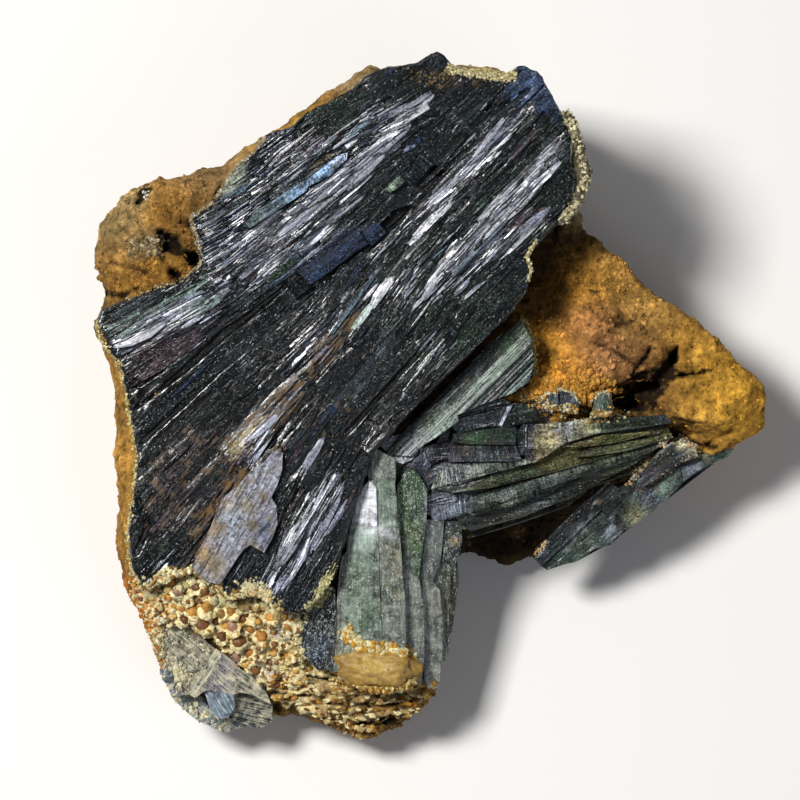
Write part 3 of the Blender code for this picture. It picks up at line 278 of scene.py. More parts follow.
SPRAY_CRYSTALS = (
    (((-2.6, -8.4), (-1, -7), (3, -8.2), (4.8, -11), (5.2, -15), (4.4, -18), (1.2, -17), (-1.6, -15)), 40,
     -7.7, -2, 2, 3, 6, "ink", -1.0),
    (((1.6, -6.6), (3.2, -2.9), (6.4, 0.1), (9.8, -1.4), (10.2, -3.6), (6.4, -6.4), (3.4, -8.2)), 45, -6.2,
     -1, -5, 3, 6, "sage", 0.6, 0.4),
    (((-3.6, -7.6), (-1.2, -6.3), (1.5, -5.8), (3.3, -8.0), (2.4, -10.2), (0.4, -11.2), (-1.4, -10.4)), 60,
     -7.0, 2, -4, 3, 5, "grey lilac", 0.4),
    (((8.6, -4), (13, -0.9), (18.4, -0.2), (24, -1.4), (30, -3.4), (47, -3.4), (47.5, -7), (41, -11.5),
     (30, -17), (22, -20.4), (12.4, -23), (8, -19), (5, -15.4), (5, -10)), 10, -12.6, -11, 0, 3, 6, "ink",
     0.0),
    (((9.3, -2.8), (13.1, -0.7), (18.3, 0.2), (19.6, -0.7), (15, -2.0), (10.4, -3.6)), 13, -7.6, -5, 24, 4,
     4, "ink", 0.1),
    (((8.9, -4.6), (10.4, -3.4), (15, -2.0), (18.4, -1.2), (16.7, -4.5), (13.7, -5.0), (10.2, -5.7)), 13,
     -7.5, -5, 4, 4, 6, "graphite", 0.5, 0.8),
    (((18.3, -1.3), (19.8, -0.8), (17.8, -4.5), (16.6, -4.5)), 70, -8.6, 0, -4, 4, 3, "silver", 0.3),
    (((19.6, -0.8), (20.5, -0.6), (23.5, -1.1), (24.5, -3.3), (20.3, -4.4), (17.7, -4.6)), 10, -9.2, -5, -6,
     4, 5, "green black", 0.1),
    (((9.4, -6.1), (12.2, -5.0), (18.6, -4.5), (20.5, -4.6), (20.3, -8.0), (15, -8.3), (9.2, -7.8)), 3,
     -8.4, -6, 5, 5, 6, "green black", 0.05, 0.3),
    (((8.6, -9.6), (9.2, -7.6), (15, -8.2), (20.3, -7.9), (21.4, -10.7), (15, -10.8), (8.6, -11.0)), 0,
     -8.3, -7, 0, 5, 6, "aubergine", 0.2, 0.8),
    (((5.6, -15.5), (7.0, -12.4), (8.6, -10.8), (15, -10.6), (21.4, -10.5), (23.8, -10.9), (20.9, -11.6),
     (15.7, -12.9), (10.8, -14.7)), 14, -8.6, -7, -10, 5, 7, "ash", 0.3, 0.8),
    (((20.4, -4.5), (22.3, -4.2), (22.2, -9.6), (21.2, -9.7)), 3, -9.3, -6, 0, 5, 4, "graphite", 0.1, 0.7),
    (((22.2, -4.3), (24.0, -4.3), (23.9, -10.7), (22.1, -10.4)), 3, -9.8, -6, -6, 5, 4, "navy", 0.3, 0.3),
    (((23.8, -4.3), (28.3, -4.1), (29.4, -7.2), (26.0, -9.6), (23.8, -10.8)), 3, -10.2, -10, -4, 5, 6,
     "slate", 0.15, 0.3),
    (((28.2, -4.1), (32.5, -3.3), (35.6, -3.3), (35.4, -5.6), (29.3, -7.4)), 10, -11.6, -11, -4, 5, 5,
     "slate", 0.25, 0.3),
    (((35.4, -3.2), (39.5, -3.2), (47, -2.7), (47.8, -4.0), (35.3, -5.8)), 5, -13.9, -13, -5, 5, 5,
     "graphite", 0.2),
    (((6.4, -15.6), (15.7, -12.8), (23.8, -10.7), (28.7, -7.4), (35.4, -5.6), (47.0, -4.3), (48.2, -6.5),
     (41.2, -8.4), (29.0, -12.2), (20.6, -13.9), (15.7, -15.4), (9.2, -16.2)), 15, -12.0, -13, -20, 5, 9,
     "olive", 0.1, 0.2),
    (((29, -8.2), (35.4, -6.4), (42, -5.8), (46, -5.4), (40, -7.0), (34, -8.2)), 12, -12.9, -14, -24, 3, 4,
     "bark", 0.1),
    (((30.8, -9.6), (35.4, -8.0), (39.8, -7.2), (44.1, -6.9), (45, -7.4), (40.6, -8.7), (35.4, -9.7),
     (31.1, -10.0)), 12, -13.0, -13, -6, 3, 4, "umber", 0.3),
    (((4.2, -17.4), (4.6, -19.7), (6.2, -21.2), (8.9, -20.9), (12.4, -19.7), (12.6, -17.0), (10.6, -15.8),
     (6.7, -15.9), (4.7, -16.5)), 12, -8.6, -6, 2, 5, 8, "storm", 0.8, 0.8),
    (((12.2, -19.9), (19.5, -18.8), (21.5, -18.0), (29.0, -14.5), (35.4, -11.9), (41.2, -10.4),
     (47.0, -7.7), (44.1, -7.4), (38.3, -9.6), (32.5, -10.7), (29.0, -12.7), (22.1, -15.3), (17.4, -16.1),
     (12.4, -17.0)), 18, -11.9, -13, -12, 5, 8, "slate", 0.2, 0.6),
    (((9.3, -21.2), (12.2, -19.9), (19.8, -18.8), (23.8, -17.5), (29.6, -14.8), (35.4, -12.4),
     (41.8, -10.8), (47.0, -8.1), (46.5, -9.0), (41.2, -12.8), (35.4, -14.6), (29.6, -17.5), (22.1, -19.9),
     (16.6, -21.6), (11.3, -22.8), (10.3, -21.9)), 18, -14.2, -12, -10, 5, 9, "umber", 0.1, 0.2),
    (((11.2, -22.7), (16.6, -21.5), (22.1, -19.8), (29.6, -17.4), (34.3, -15.2), (29.6, -18.8),
     (22.1, -21.4), (15.7, -23.4), (11.8, -24.4)), 18, -15.2, -11, -14, 5, 6, "olive", 0.1),
    (((3.5, -8.5), (6.5, -7.7), (9.3, -8.6), (8.4, -11), (5.2, -11.5), (3.3, -10.3)), 5, -7.8, -8, 12, 4, 4,
     "ink", 0.6, 0.9),
    (((3.3, -11.9), (5.6, -11.5), (8.6, -10.9), (8.8, -12.2), (6.2, -14.4), (4.4, -15.0)), 30, -8.2, -8,
     -12, 4, 4, "ink", 0.7),
    (((2.4, -10.6), (4.2, -9.2), (5.4, -11.4), (3.4, -13.4)), 60, -7.4, 8, 6, 4, 3, "navy", 0.6),
    (((4.2, -12.4), (5.2, -11.9), (7.6, -13.6), (5.6, -15.2), (4.6, -14.6)), 30, -7.9, -6, 14, 3, 3, "plum",
     0.6),
)
SLAB_CRYSTALS = (
    (((24.4, -28.2), (28.5, -23.4), (33, -18.8), (36.4, -15.4), (41, -14.2), (47, -9), (52, -9), (58, -9.4),
     (50, -14.6), (46, -18.4), (40.4, -22.8), (37, -25.4), (31, -28.6), (26.2, -29.6)), 38, -19.6, 0, 0,
     3.6, 6, "ink", 0.0),
    (((23.5, -27.6), (28.2, -22.3), (32.5, -18.6), (35.1, -15.4), (36.9, -14.5), (38.8, -15.7),
     (35.7, -19.3), (32.5, -22.2), (28.5, -25.4), (25.0, -29.2)), 43, -17.5, -1, 3, 4, 7, "ink", 0.2),
    (((25, -29.2), (28.5, -25.4), (32.5, -22.2), (35.7, -19.3), (37.2, -21.2), (39.5, -23.2), (37.5, -25.5),
     (34.3, -26.3), (31.4, -28.4), (28.7, -29.1), (26.1, -30.0)), 38, -18.4, -1, 0, 4, 7, "bottle", 0.0),
    (((35.7, -19.2), (38.8, -15.6), (41.2, -13.9), (42.4, -15.4), (40.4, -17.7), (38.3, -19.4),
     (40.4, -22.6), (39.5, -23.3), (37.2, -21.2)), 45, -17.6, 0, 3, 4, 6, "ink", 0.3),
    (((38.2, -19.4), (42.4, -15.6), (45.6, -13.6), (49.2, -11.0), (50, -14.6), (46.2, -18.4), (43.5, -20.6),
     (40.4, -22.9)), 38, -17.6, -1, 0, 4, 7, "bottle", 0.0),
    (((40.9, -13.9), (44.1, -11.0), (47.0, -8.1), (50, -7.0), (52, -8), (52.6, -10), (49, -11.2),
     (45.6, -13.7), (42.4, -15.6)), 38, -16.2, -1, 8, 4, 7, "ink", 0.3),
    (((49, -11), (52.5, -9.9), (59, -8.6), (58, -9.9), (52.5, -12.5), (49.6, -14.8)), 25, -18.4, -4, -4, 3,
     5, "bottle", 0.1),
)
FROSTED_CRYSTALS = (
    (((-41.6, -36.4), (-36.2, -40.8), (-31.9, -44.4), (-36.6, -51.8), (-39.4, -52.0), (-41.4, -49.4),
     (-42.7, -44.5)), -40, -9.6, -19, -10, 5, 22, "ash", 0.7),
    (((-32.4, -43.9), (-31.3, -44.7), (-36.1, -52.4), (-37.2, -51.6)), 56, -10.2, -4, 0, 5, 3, "ash", 0.8),
    (((-31.2, -44.6), (-27.6, -47.8), (-25.6, -50.6), (-29.2, -51.8), (-34.2, -51), (-35.8, -52.2)), -40,
     -11.4, -18, -8, 5, 14, "mauve", 0.5),
    (((-34.6, -50.6), (-34.0, -49.6), (-32.8, -49.0), (-31.2, -49.3), (-30.0, -50.4), (-29.4, -52.2),
     (-29.2, -54.2), (-30.2, -55.8), (-31.5, -56.2), (-32.9, -55.2), (-33.8, -53.4)), -60, -11.7, -10, -4,
     5, 12, "sky", -3.0),
    (((-29.2, -51.6), (-26.6, -51.8), (-22.6, -53.8), (-22.6, -56.7), (-24.7, -58.0), (-29.8, -56.5)), -14,
     -14.4, -12, -8, 5, 14, "storm", 0.0),
    (((-41.4, -49.0), (-36.2, -51.6), (-33.8, -53.6), (-31.4, -56.0), (-27.0, -57.6), (-31, -58.6),
     (-36, -56.4), (-40, -53)), -38, -15.0, -12, -10, 3, 9, "sky", 0.4),
    (((-28.4, -47.4), (-24.6, -49.4), (-22.8, -53.6), (-26.4, -51.8), (-29.2, -51.2)), -35, -12.0, -16, -8,
     5, 8, "ash", 0.7),
)
VUG_CRYSTALS = (
    (((24.8, -2.0), (25.6, 0.9), (27.6, 1.2), (28.2, -1.8)), 80, -10.0, 4, -4, 4, 4, "storm", 0.2),
    (((28.4, -1.8), (28.2, 2.0), (30.2, 1.2), (31.6, -0.4), (31.2, -2.4)), 70, -9.6, 4, 12, 4, 4, "storm",
     0.3),
    (((33.6, -3.2), (34.6, 0.8), (36.4, 1.6), (37.2, -2.6)), 75, -10.6, 5, -6, 4, 4, "bottle", 0.3),
)

# Cracks and steps in the plate, painted dark with shade by their depth: depth, then a path of x, y and half
# width.
PLATE_GROOVES = (
    (0.8, ((-31.4, 19.8, 0.3), (-28, 21.4, 0.5), (-24.3, 22.6, 0.3))),
    (1.0, ((-46.4, -1.4, 0.2), (-38, 5.2, 0.5), (-30, 12.4, 0.9), (-24, 17.4, 1.0), (-20, 20.4, 0.5))),
    (0.8, ((-45.2, -7.2, 0.4), (-38, -0.6, 0.5), (-32, 5.0, 0.4), (-27.4, 8.6, 0.2))),
    (0.7, ((-47.6, 1.4, 0.3), (-42, 5.2, 0.4), (-36.6, 9.2, 0.2))),
    (0.8, ((-17.6, 49.4, 0.5), (-16.4, 47.4, 0.5))),
    (1.6, ((-2.4, 30.4, 0.9), (-0.4, 31.8, 1.5), (1.6, 33.2, 0.8))),
    (1.0, ((3.6, 41.4, 0.3), (7.6, 39.6, 0.6), (12.4, 40.2, 0.3))),
    (1.0, ((13.8, 51.4, 0.3), (17, 50.8, 0.7), (20, 52.6, 0.7), (22.4, 54.4, 0.3))),
    (0.8, ((-15.4, 19.6, 0.3), (-10, 23.8, 0.5), (-5, 27, 0.4), (-1, 31, 0.5))),
    (0.6, ((-22, 12.6, 0.2), (-16, 17.6, 0.3), (-12, 21.4, 0.2))),
    (0.8, ((-46, -17.4, 0.3), (-44.2, -22, 0.5), (-46.4, -27, 0.4))),
    (0.7, ((-20, -8.4, 0.2), (-22.6, -13.4, 0.4), (-22.4, -18, 0.2))),
    (0.9, ((-9.6, -6, 0.3), (-3.6, 0.6, 0.4), (3, 8, 0.4), (9.6, 15, 0.2))),
    (0.6, ((0.6, 27, 0.2), (5, 31.4, 0.4), (9, 35.6, 0.2))),
    (0.6, ((10, 33.4, 0.2), (15, 38.4, 0.3), (20, 43.6, 0.2))),
    (0.6, ((-30.6, 31.6, 0.2), (-24, 35.6, 0.3), (-17.6, 40, 0.2))),
    (0.6, ((-14.6, -8, 0.2), (-17.6, -14, 0.4), (-20, -20, 0.3), (-23.6, -28, 0.2))),
)
# Openings in the rock: depth, then a path of x, y and half width.
CREVICES = (
    (3.6, ((38.4, 0.8, 1.0), (41.0, 0.2, 2.2), (43.6, 1.2, 2.7), (46, 3.4, 2.1), (47.6, 6, 1.3),
     (49, 8.9, 0.6))),
    (2.4, ((46, 3.6, 0.8), (50, 4.4, 0.6), (54.8, 5.0, 0.25))),
    (1.6, ((36.2, 1.9, 0.5), (39.5, 2.6, 0.8), (42.4, 4.6, 0.6), (45, 5.4, 0.4))),
    (0.9, ((38.4, 8.6, 0.3), (41, 6.4, 0.45), (43, 6.0, 0.3))),
    (0.8, ((37, 14.6, 0.3), (39, 13.4, 0.4), (41.4, 14, 0.3))),
    (0.8, ((48.4, -2.8, 0.3), (51, -4.0, 0.4), (53.6, -3.6, 0.3))),
    (1.6, ((45, -4.6, 0.5), (48, -6.0, 0.9), (52, -7.6, 0.7), (56, -8.4, 0.5))),
    (0.7, ((52, 2.4, 0.5), (53.2, 1.2, 0.5))), (0.9, ((34.6, 9.8, 0.25), (37, 9.2, 0.4), (39.6, 7.4, 0.3))),
    (0.8, ((36, 12.2, 0.2), (38.6, 11.6, 0.3))),
    (1.2, ((40.6, 4.6, 0.3), (42.8, 6.8, 0.6), (44.2, 9.2, 0.4))),
    (0.8, ((33, 19.4, 0.2), (35.4, 18.8, 0.3))),
    (1.4, ((37.4, -0.4, 0.4), (40, -1.6, 1.0), (43.4, -1.0, 0.9), (45.4, 0.6, 0.5))),
    (4.8, ((-42, 29.4, 0.7), (-40.2, 27.4, 1.9), (-38.9, 26.2, 1.1))),
    (4.4, ((-37.4, 25.8, 0.5), (-35.9, 24.5, 1.4), (-35.1, 23.2, 0.7))),
    (3.8, ((-40, 22.8, 0.8), (-38.9, 21.4, 0.9))),
    (1.6, ((-46.2, 34.4, 0.5), (-45.1, 36.4, 1.0), (-43.9, 36.9, 0.5))),
    (0.8, ((-45.9, 31.4, 0.3), (-44.6, 28.4, 0.4), (-42.8, 26.6, 0.4), (-41.4, 24, 0.35))),
    (0.8, ((-50.8, 24.4, 0.3), (-47.6, 23.6, 0.4), (-44.8, 22.4, 0.35))),
    (1.2, ((-52, 18.9, 0.7), (-49, 18.3, 0.6), (-46, 19.7, 0.35))),
    (1.0, ((-38.6, 31.4, 0.5), (-36.9, 30.6, 0.8))),
    (0.7, ((-49.6, 30.6, 0.3), (-47.4, 29, 0.4), (-46.4, 26.6, 0.3))),
)
# Colours of the rock, some of them painted shadows: centre, reach, sRGB and strength.
ROCK_COLOURS_AND_SHADOWS = (
    ((-44, 26), 6, "#836028", 1.0), ((-41, 21.5), 3.5, "#9c6e24", 0.9), ((-41, 33), 3.6, "#966a26", 0.9),
    ((-36.6, 33), 4, "#84602f", 0.9), ((-50, 32), 5, "#a08a5c", 1.1), ((-47, 36), 3, "#a08a5c", 0.9),
    ((-51, 25), 3, "#94703a", 0.7), ((-45.4, 28), 2.4, "#7a6c4c", 1.2), ((-49, 20.6), 3, "#946c2c", 0.8),
    ((-33, 41), 7, "#8a7048", 1.0), ((-20, 49), 6, "#a8843c", 1.0), ((-8, 57), 4, "#9a8660", 0.9),
    # (27, 27) and (26, 19) are painted shadow, that of the plate on the right lobe.
    ((27, 27), 6.4, "#2c1c0c", 3.2), ((26, 19), 5, "#4a3012", 1.6), ((31, 21), 5, "#b5812c", 0.9),
    ((27, 9), 5, "#c98d2c", 1.2), ((33, 11), 5, "#c08653", 1.1), ((38, 7), 4, "#b9875c", 0.7),
    ((44, 18), 5, "#a5803c", 0.8), ((37, 25), 5, "#bb8c42", 0.8), ((42, 12), 5, "#a67c44", 0.9),
    ((44, 7), 5, "#74502a", 1.3), ((39, 3), 3.4, "#80582a", 1.0), ((47, 0), 5, "#9a7038", 0.7),
    ((58, 0), 8, "#d09c36", 1.4), ((53, -5), 5, "#b08440", 0.9), ((50, 10), 4, "#c8963c", 0.8),
    ((30, 2), 5, "#c98d34", 1.0), ((-49, -2), 9, "#b0843c", 1.4), ((-48, -20), 9, "#b0843c", 1.4),
    # (25, -22), (14, -24) and (44, -8) are painted shade, in the hollow under the spray and under the lobe.
    ((-53, 13), 4, "#7c6440", 1.2), ((-45, -36), 6, "#b4702c", 1.6), ((25, -22), 11, "#1a120a", 3.0),
    ((14, -24), 7, "#150f09", 3.0), ((44, -8), 5, "#1c130b", 1.6), ((30, 40), 7, "#c6bc94", 1.4),
    ((14, 58), 7, "#b8a870", 1.4), ((-25, -57), 9, "#80683a", 0.8), ((0, -57), 9, "#8c6a34", 1.0),
)
ROCK_BASE = "#8a6430"
# Where granules lie on the rock: x and y ranges, number and sizes.
GRANULE_FIELDS = (
    ((-54, -34), (18, 40), 1500, (0.2, 0.55)), ((22, 46), (3, 31), 1200, (0.15, 0.5)),
    ((40, 66), (-9, 16), 500, (0.12, 0.3)), ((-54, -45), (-38, 12), 300, (0.15, 0.3)),
    ((-32, -6), (38, 60), 300, (0.15, 0.35)), ((22, 44), (-3, 6), 600, (0.25, 0.75)),
)

# The larger beads of the crust: x, y and radius.
BEADS = (
    (-42.6, -33.4, 1.0), (-40.2, -32.4, 1.0), (-39.2, -33.6, 0.9), (-40.6, -34.6, 0.8), (-35.8, -32.9, 0.9),
    (-34.4, -33.6, 0.9), (-33.2, -34.2, 0.8), (-35.6, -35.0, 1.0), (-36.4, -37.1, 1.2), (-33.9, -36.2, 1.0),
    (-34.7, -39.4, 1.3), (-31.4, -37.6, 0.9), (-29.6, -37.2, 0.9), (-30.8, -39.4, 0.9), (-32.4, -38.8, 0.8),
    (-29.4, -39.8, 1.1), (-31.4, -41.6, 0.9), (-28.3, -42.4, 1.2), (-24.4, -41.6, 1.1), (-22.6, -38.2, 1.0),
    (-27.8, -38.4, 0.9), (-26.6, -44.4, 1.0), (-28.8, -45.2, 1.0), (-37.9, -38.6, 0.8), (-26.4, -40.2, 0.8),
    (-20.6, -38.0, 0.8), (-41.2, -41.6, 1.0), (-42.0, -44.9, 1.0), (-41.4, -39.6, 0.8), (-25.4, -47.4, 1.0),
    (-24.4, -50.6, 1.1), (-21.8, -50.0, 0.8), (-18.8, -52.4, 0.8), (-22.4, -44.4, 0.8), (-38.4, -36.6, 0.7),
)


def linear(code):
    """An sRGB hex colour as the linear values that Blender's sockets hold."""
    values = [int(code[i:i + 2], 16) / 255 for i in (1, 3, 5)]
    return tuple(v / 12.92 if v <= 0.04045 else ((v + 0.055) / 1.055) ** 2.4 for v in values)


def rgba(colour):
    return (*colour, 1.0)


# ---------------------------------------------------------------- shapes


GOLDEN_SHARE = 0.618  # sets shapes that follow each other far apart in their patterns


class Bundle:
    """Many small closed shapes gathered into one mesh, in the frame of the crystal face."""

    def __init__(self):
        self.points = []
        self.faces = []
        self.grain = []
        self.tint = []
        self.marks = []
        self.count = 0

    def add(self, points, faces, grain, colour, openness=0.0, dust=0.0, ribbing=0.0):
        """Adds a shape. Its grain holds each point's place along and across it, and its colour is linear, one
        for all points or one for each."""
        self.faces += [tuple(i + self.count for i in face) for face in faces]
        ids = np.full((len(points), 1), len(self.points) * GOLDEN_SHARE % 1.0 * 100)
        self.points.append(points)
        self.grain.append(np.hstack((grain, ids)))
        tint = np.full((len(points), 4), openness)
        tint[:, :3] = colour
        self.tint.append(tint)
        self.marks.append(np.tile((dust, ribbing, 0.0), (len(points), 1)))
        self.count += len(points)

    def make(self, name, material, smooth=False):
        mesh = bpy.data.meshes.new(name)
        mesh.from_pydata(world_points(np.vstack(self.points)).tolist(), [], self.faces)
        set_attribute(mesh, "grain", np.vstack(self.grain))
        set_attribute(mesh, "tint", np.vstack(self.tint))
        set_attribute(mesh, "marks", np.vstack(self.marks))
        return piece(name, mesh, material, smooth)


def world_points(points):
    return points @ np.array(FROM_FACE.to_3x3()).T + np.array(FROM_FACE.translation)


def set_attribute(mesh, name, values):
    """Values at the points of a mesh: a vector where three go to a point, a colour where four do."""
    kind, field = ("FLOAT_COLOR", "color") if values.shape[1] == 4 else ("FLOAT_VECTOR", "vector")
    attribute = mesh.attributes.new(name, kind, "POINT")
    attribute.data.foreach_set(field, np.asarray(values, dtype=np.float32).ravel())


def piece(name, mesh, material, smooth=False):
    mesh.polygons.foreach_set("use_smooth", [smooth] * len(mesh.polygons))
    mesh.materials.clear()
    mesh.materials.append(material)
    obj = bpy.data.objects.new(name, mesh)
    bpy.context.scene.collection.objects.link(obj)
    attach(obj, "root")
    return obj


def loft_faces(rings, ring):
    """Faces of a closed body through rings of equally many points, with its two end caps."""
    faces = []
    for i in range(rings - 1):
        for k in range(ring):
            a, b = i * ring + k, i * ring + (k + 1) % ring
            faces.append((a, a + ring, b + ring, b))
    faces.append(tuple(range(ring)))
    faces.append(tuple(reversed(range((rings - 1) * ring, rings * ring))))
    return faces


# Cross sections along a blade with pointed ends and along one with broken ends: shares of its length, of its
# width and of its height.
POINTED = (
    (0.0, 0.16, -0.5), (0.1, 0.6, 0.35), (0.32, 0.96, 0.95), (0.62, 1.0, 1.0), (0.86, 0.62, 0.6),
    (1.0, 0.14, -0.5),
)
BROKEN = (
    (0.0, 0.55, -0.1), (0.06, 0.85, 0.8), (0.4, 1.0, 1.0), (0.8, 0.9, 0.95), (0.97, 0.72, 0.75),
    (1.0, 0.66, 0.0),
)


def blade_shape(draw, length, width, depth, strips, stations=POINTED, ruffle=1.0, under=0.8):
    """A closed striated blade along its own x axis from 0 to length. Its top is split lengthwise into strips,
    each tipped its own way, the more so the higher its ruffle. Returns points, faces and grain."""
    lines = strips + 1
    across = np.linspace(-0.5, 0.5, lines)
    across[1:-1] += [draw.uniform(-0.3, 0.3) / strips for _ in range(lines - 2)]
    high = 1 - 0.35 * ruffle * np.abs(2 * across) ** 3
    tips = np.array([draw.uniform(-0.22, 0.22) for _ in range(lines)])
    high = high * depth + tips * min(depth, 0.45) * ruffle
    splinter = min(0.12 * length, 1.4)
    first = np.array([draw.uniform(0, 1) for _ in range(lines)]) * splinter
    last = np.array([draw.uniform(-1, 0) for _ in range(lines)]) * splinter
    skew = draw.uniform(-0.3, 0.3) * width
    points = []
    grain = []
    for index, (share, wide, tall) in enumerate(stations):
        x = np.full(lines, share * length)
        if index == 0:
            x = x + first
        if index == len(stations) - 1:
            x = x + last
        lean = skew * (1 - wide)
        y = across * width * wide + lean
        z = high * tall
        half = width * wide * 0.47
        middle = share * length
        points.append(np.column_stack((x, y, z)))
        points.append([(middle, half + lean, -under), (middle, lean - half, -under)])
        grain.append(np.column_stack((x, across * width)))
        grain.append([(middle, width / 2 + under), (middle, -width / 2 - under)])
    return np.vstack(points), loft_faces(len(stations), lines + 2), np.vstack(grain)


def grown(outline, distance):
    """An outline moved outwards by a distance."""
    points = [Vector(p) for p in outline]
    area = sum(a.x * b.y - a.y * b.x for a, b in zip(points, points[1:] + points[:1]))
    way = distance if area > 0 else -distance
    moved = []
    for before, point, after in zip(points[-1:] + points[:-1], points, points[1:] + points[:1]):
        first = (point - before).normalized()
        second = (after - point).normalized()
        out = Vector((first.y + second.y, -first.x - second.x)).normalized()
        lift = min(1 / max(out.dot(Vector((first.y, -first.x))), 0.5), 2.0)
        moved.append(tuple(point + out * way * lift))
    return moved


def crossings(outline, v):
    """First and last place along the line at v where it crosses an outline."""
    found = [
        ua + (v - va) * (ub - ua) / (vb - va)
        for (ua, va), (ub, vb) in zip(outline, outline[1:] + outline[:1]) if (va > v) != (vb > v)
    ]
    return min(found), max(found)


SEAM = 0.12  # neighbours cut to the same line overlap by this much
RIBBED = 0.5  # ribbing from which ribs are raised
RIB_SPACING = 0.5
RIB_HEIGHT = 0.16
EDGE_DROP = 0.15  # of a crystal's borders below its top


def rib_stations(draw, length, bevel, ribbing):
    """Places along a crystal, as shares of its length, and how high the ribs across it rise there."""
    stations = []
    share = bevel + 0.02
    while share < 1 - bevel - RIB_SPACING / length:
        height = draw.uniform(0.3, 1) * RIB_HEIGHT * ribbing
        for step, lift in ((0.0, -height), (0.12, height), (0.5, height * 0.8), (0.62, -height)):
            stations.append((share + step * RIB_SPACING / length, lift))
        share += draw.uniform(0.75, 1.5) * RIB_SPACING / length
    return stations


def cut_blade(
    draw, outline, direction, level, pitch, roll, depth, strips, ribbing=0.0, band=(0, 1), rough=0.04
):
    """A closed striated crystal whose upper side has the given outline, or a band of its width. It lies at a
    level in its middle, pitched and rolled by degrees. Ribbing raises ribs across it, and rough is the height
    of its uneven surface. Returns points, faces and grain."""
    turn = math.radians(direction)
    cosine, sine = math.cos(turn), math.sin(turn)
    flat = [(x * cosine + y * sine, y * cosine - x * sine) for x, y in grown(outline, SEAM)]
    us, vs = zip(*flat)
    low, wide = min(vs), max(vs) - min(vs)
    inset = min(0.08, 0.02 * wide)
    low, high = max(low + band[0] * wide, low + inset), min(low + band[1] * wide, low + wide - inset)
    middle_u, middle_v = (min(us) + max(us)) / 2, (low + high) / 2
    corners = [v for v in vs if low + 0.15 < v < high - 0.15]
    lines = [v for v in np.linspace(low, high, strips + 1) if all(abs(v - c) > 0.2 for c in corners)]
    across = np.array(sorted({low, high, *lines, *corners}))
    ends = np.array([crossings(flat, v) for v in across])
    length = max(us) - min(us)
    bevel = SEAM / length
    stations = [(share, 0.0) for share in np.linspace(0.06, 0.94, max(3, round(length / 0.8)))]
    if ribbing >= RIBBED:
        stations = rib_stations(draw, length, bevel, ribbing)
    stations = [(0, 0.0), (bevel, 0.0), *stations, (1 - bevel, 0.0), (1, 0.0)]
    edge = np.zeros(len(across))
    edge[0] = edge[-1] = -EDGE_DROP
    steps = np.array([draw.uniform(-0.06, 0.06) for _ in across]) + edge
    slope, lean = math.tan(math.radians(pitch)), math.tan(math.radians(roll))
    seed = draw.uniform(0, 90)
    points = []
    grain = []
    for index, (share, lift) in enumerate(stations):
        u = ends[:, 0] + (ends[:, 1] - ends[:, 0]) * share
        uneven = rough * np.array([noise.noise(Vector((a / 2.2, b / 0.9, seed))) for a, b in zip(u, across)])
        w = level + slope * (u - middle_u) + lean * (across - middle_v) + steps + lift + uneven
        if index in (0, len(stations) - 1):
            w = w - EDGE_DROP
        ring = np.column_stack((u, across, w))
        under = [(u[-1], across[-1], w[-1] - depth), (u[0], across[0], w[0] - depth)]
        points.append(ring)
        points.append(under)
        grain.append(ring[:, :2])
        grain.append([(u[-1], across[-1] + depth), (u[0], across[0] - depth)])
    points = np.vstack(points)
    turned = points.copy()
    turned[:, 0] = points[:, 0] * cosine - points[:, 1] * sine
    turned[:, 1] = points[:, 0] * sine + points[:, 1] * cosine
    return turned, loft_faces(len(stations), len(across) + 2), np.vstack(grain)


def stained_and_highlit(points, colour, tint_spots):
    """A colour at each point, drawn towards the spots of stain and of painted highlight that lie near it."""
    colours = np.tile(np.array(colour), (len(points), 1))
    for x, y, reach, tint, strength in tint_spots:
        away = ((points[:, 0] - x) ** 2 + (points[:, 1] - y) ** 2) / reach ** 2
        share = (strength * np.exp(-away))[:, None]
        colours = colours * (1 - share) + np.array(linear(TINTS[tint])) * share
    return colours


def place(points, at, yaw, pitch=0.0, roll=0.0):
    """Turns points by degrees, rolled about x, pitched tip up and yawed about w, and moves them."""
    turn = (
        Matrix.Rotation(math.radians(yaw), 3, "Z")
        @ Matrix.Rotation(math.radians(-pitch), 3, "Y")
        @ Matrix.Rotation(math.radians(roll), 3, "X")
    )
    return points @ np.array(turn).T + np.array(at)


def ball_template(detail):
    bm = bmesh.new()
    bmesh.ops.create_icosphere(bm, subdivisions=detail, radius=1)
    points = np.array([v.co[:] for v in bm.verts])
    faces = [tuple(v.index for v in f.verts) for f in bm.faces]
    bm.free()
    return points, faces


BALLS = {detail: ball_template(detail) for detail in (1, 2, 3)}


def add_crumb(bundle, draw, at, radii, colour, detail=2, rough=0.35, turn=None):
    """A lump with an uneven surface, turned at random unless a turn is given."""
    points, faces = BALLS[detail]
    seed = Vector((draw.uniform(0, 50), draw.uniform(0, 50), draw.uniform(0, 50)))
    swell = np.array([1 + rough * noise.noise(Vector(p) * 1.6 + seed) for p in points])
    shaped = points * swell[:, None] * np.array(radii)
    turn = draw.uniform(0, 360) if turn is None else turn
    shaped = place(shaped, at, turn, draw.uniform(-25, 25), draw.uniform(-25, 25))
    bundle.add(shaped, faces, shaped[:, :2], colour)


def inside(outline, x, y):
    """Whether a place lies within an outline."""
    crossed = 0
    for (xa, ya), (xb, yb) in zip(outline, outline[1:] + outline[:1]):
        if (ya > y) != (yb > y) and x < xa + (y - ya) * (xb - xa) / (yb - ya):
            crossed += 1
    return crossed % 2 == 1


def surface_of(*meshes):
    """The surface of meshes in the world, to be read by level()."""
    points = []
    polygons = []
    for each in meshes:
        start = len(points)
        points += [TO_FACE @ v.co for v in each.vertices]
        polygons += [tuple(start + i for i in p.vertices) for p in each.polygons]
    return BVHTree.FromPolygons(points, polygons)


ABOVE_ALL = 60.0  # higher over the face than anything on it


def level(tree, x, y):
    """Height of a surface over a point of the face, or None where there is no surface."""
    hit = tree.ray_cast(Vector((x, y, ABOVE_ALL)), Vector((0, 0, -1)))[0]
    return None if hit is None else hit.z


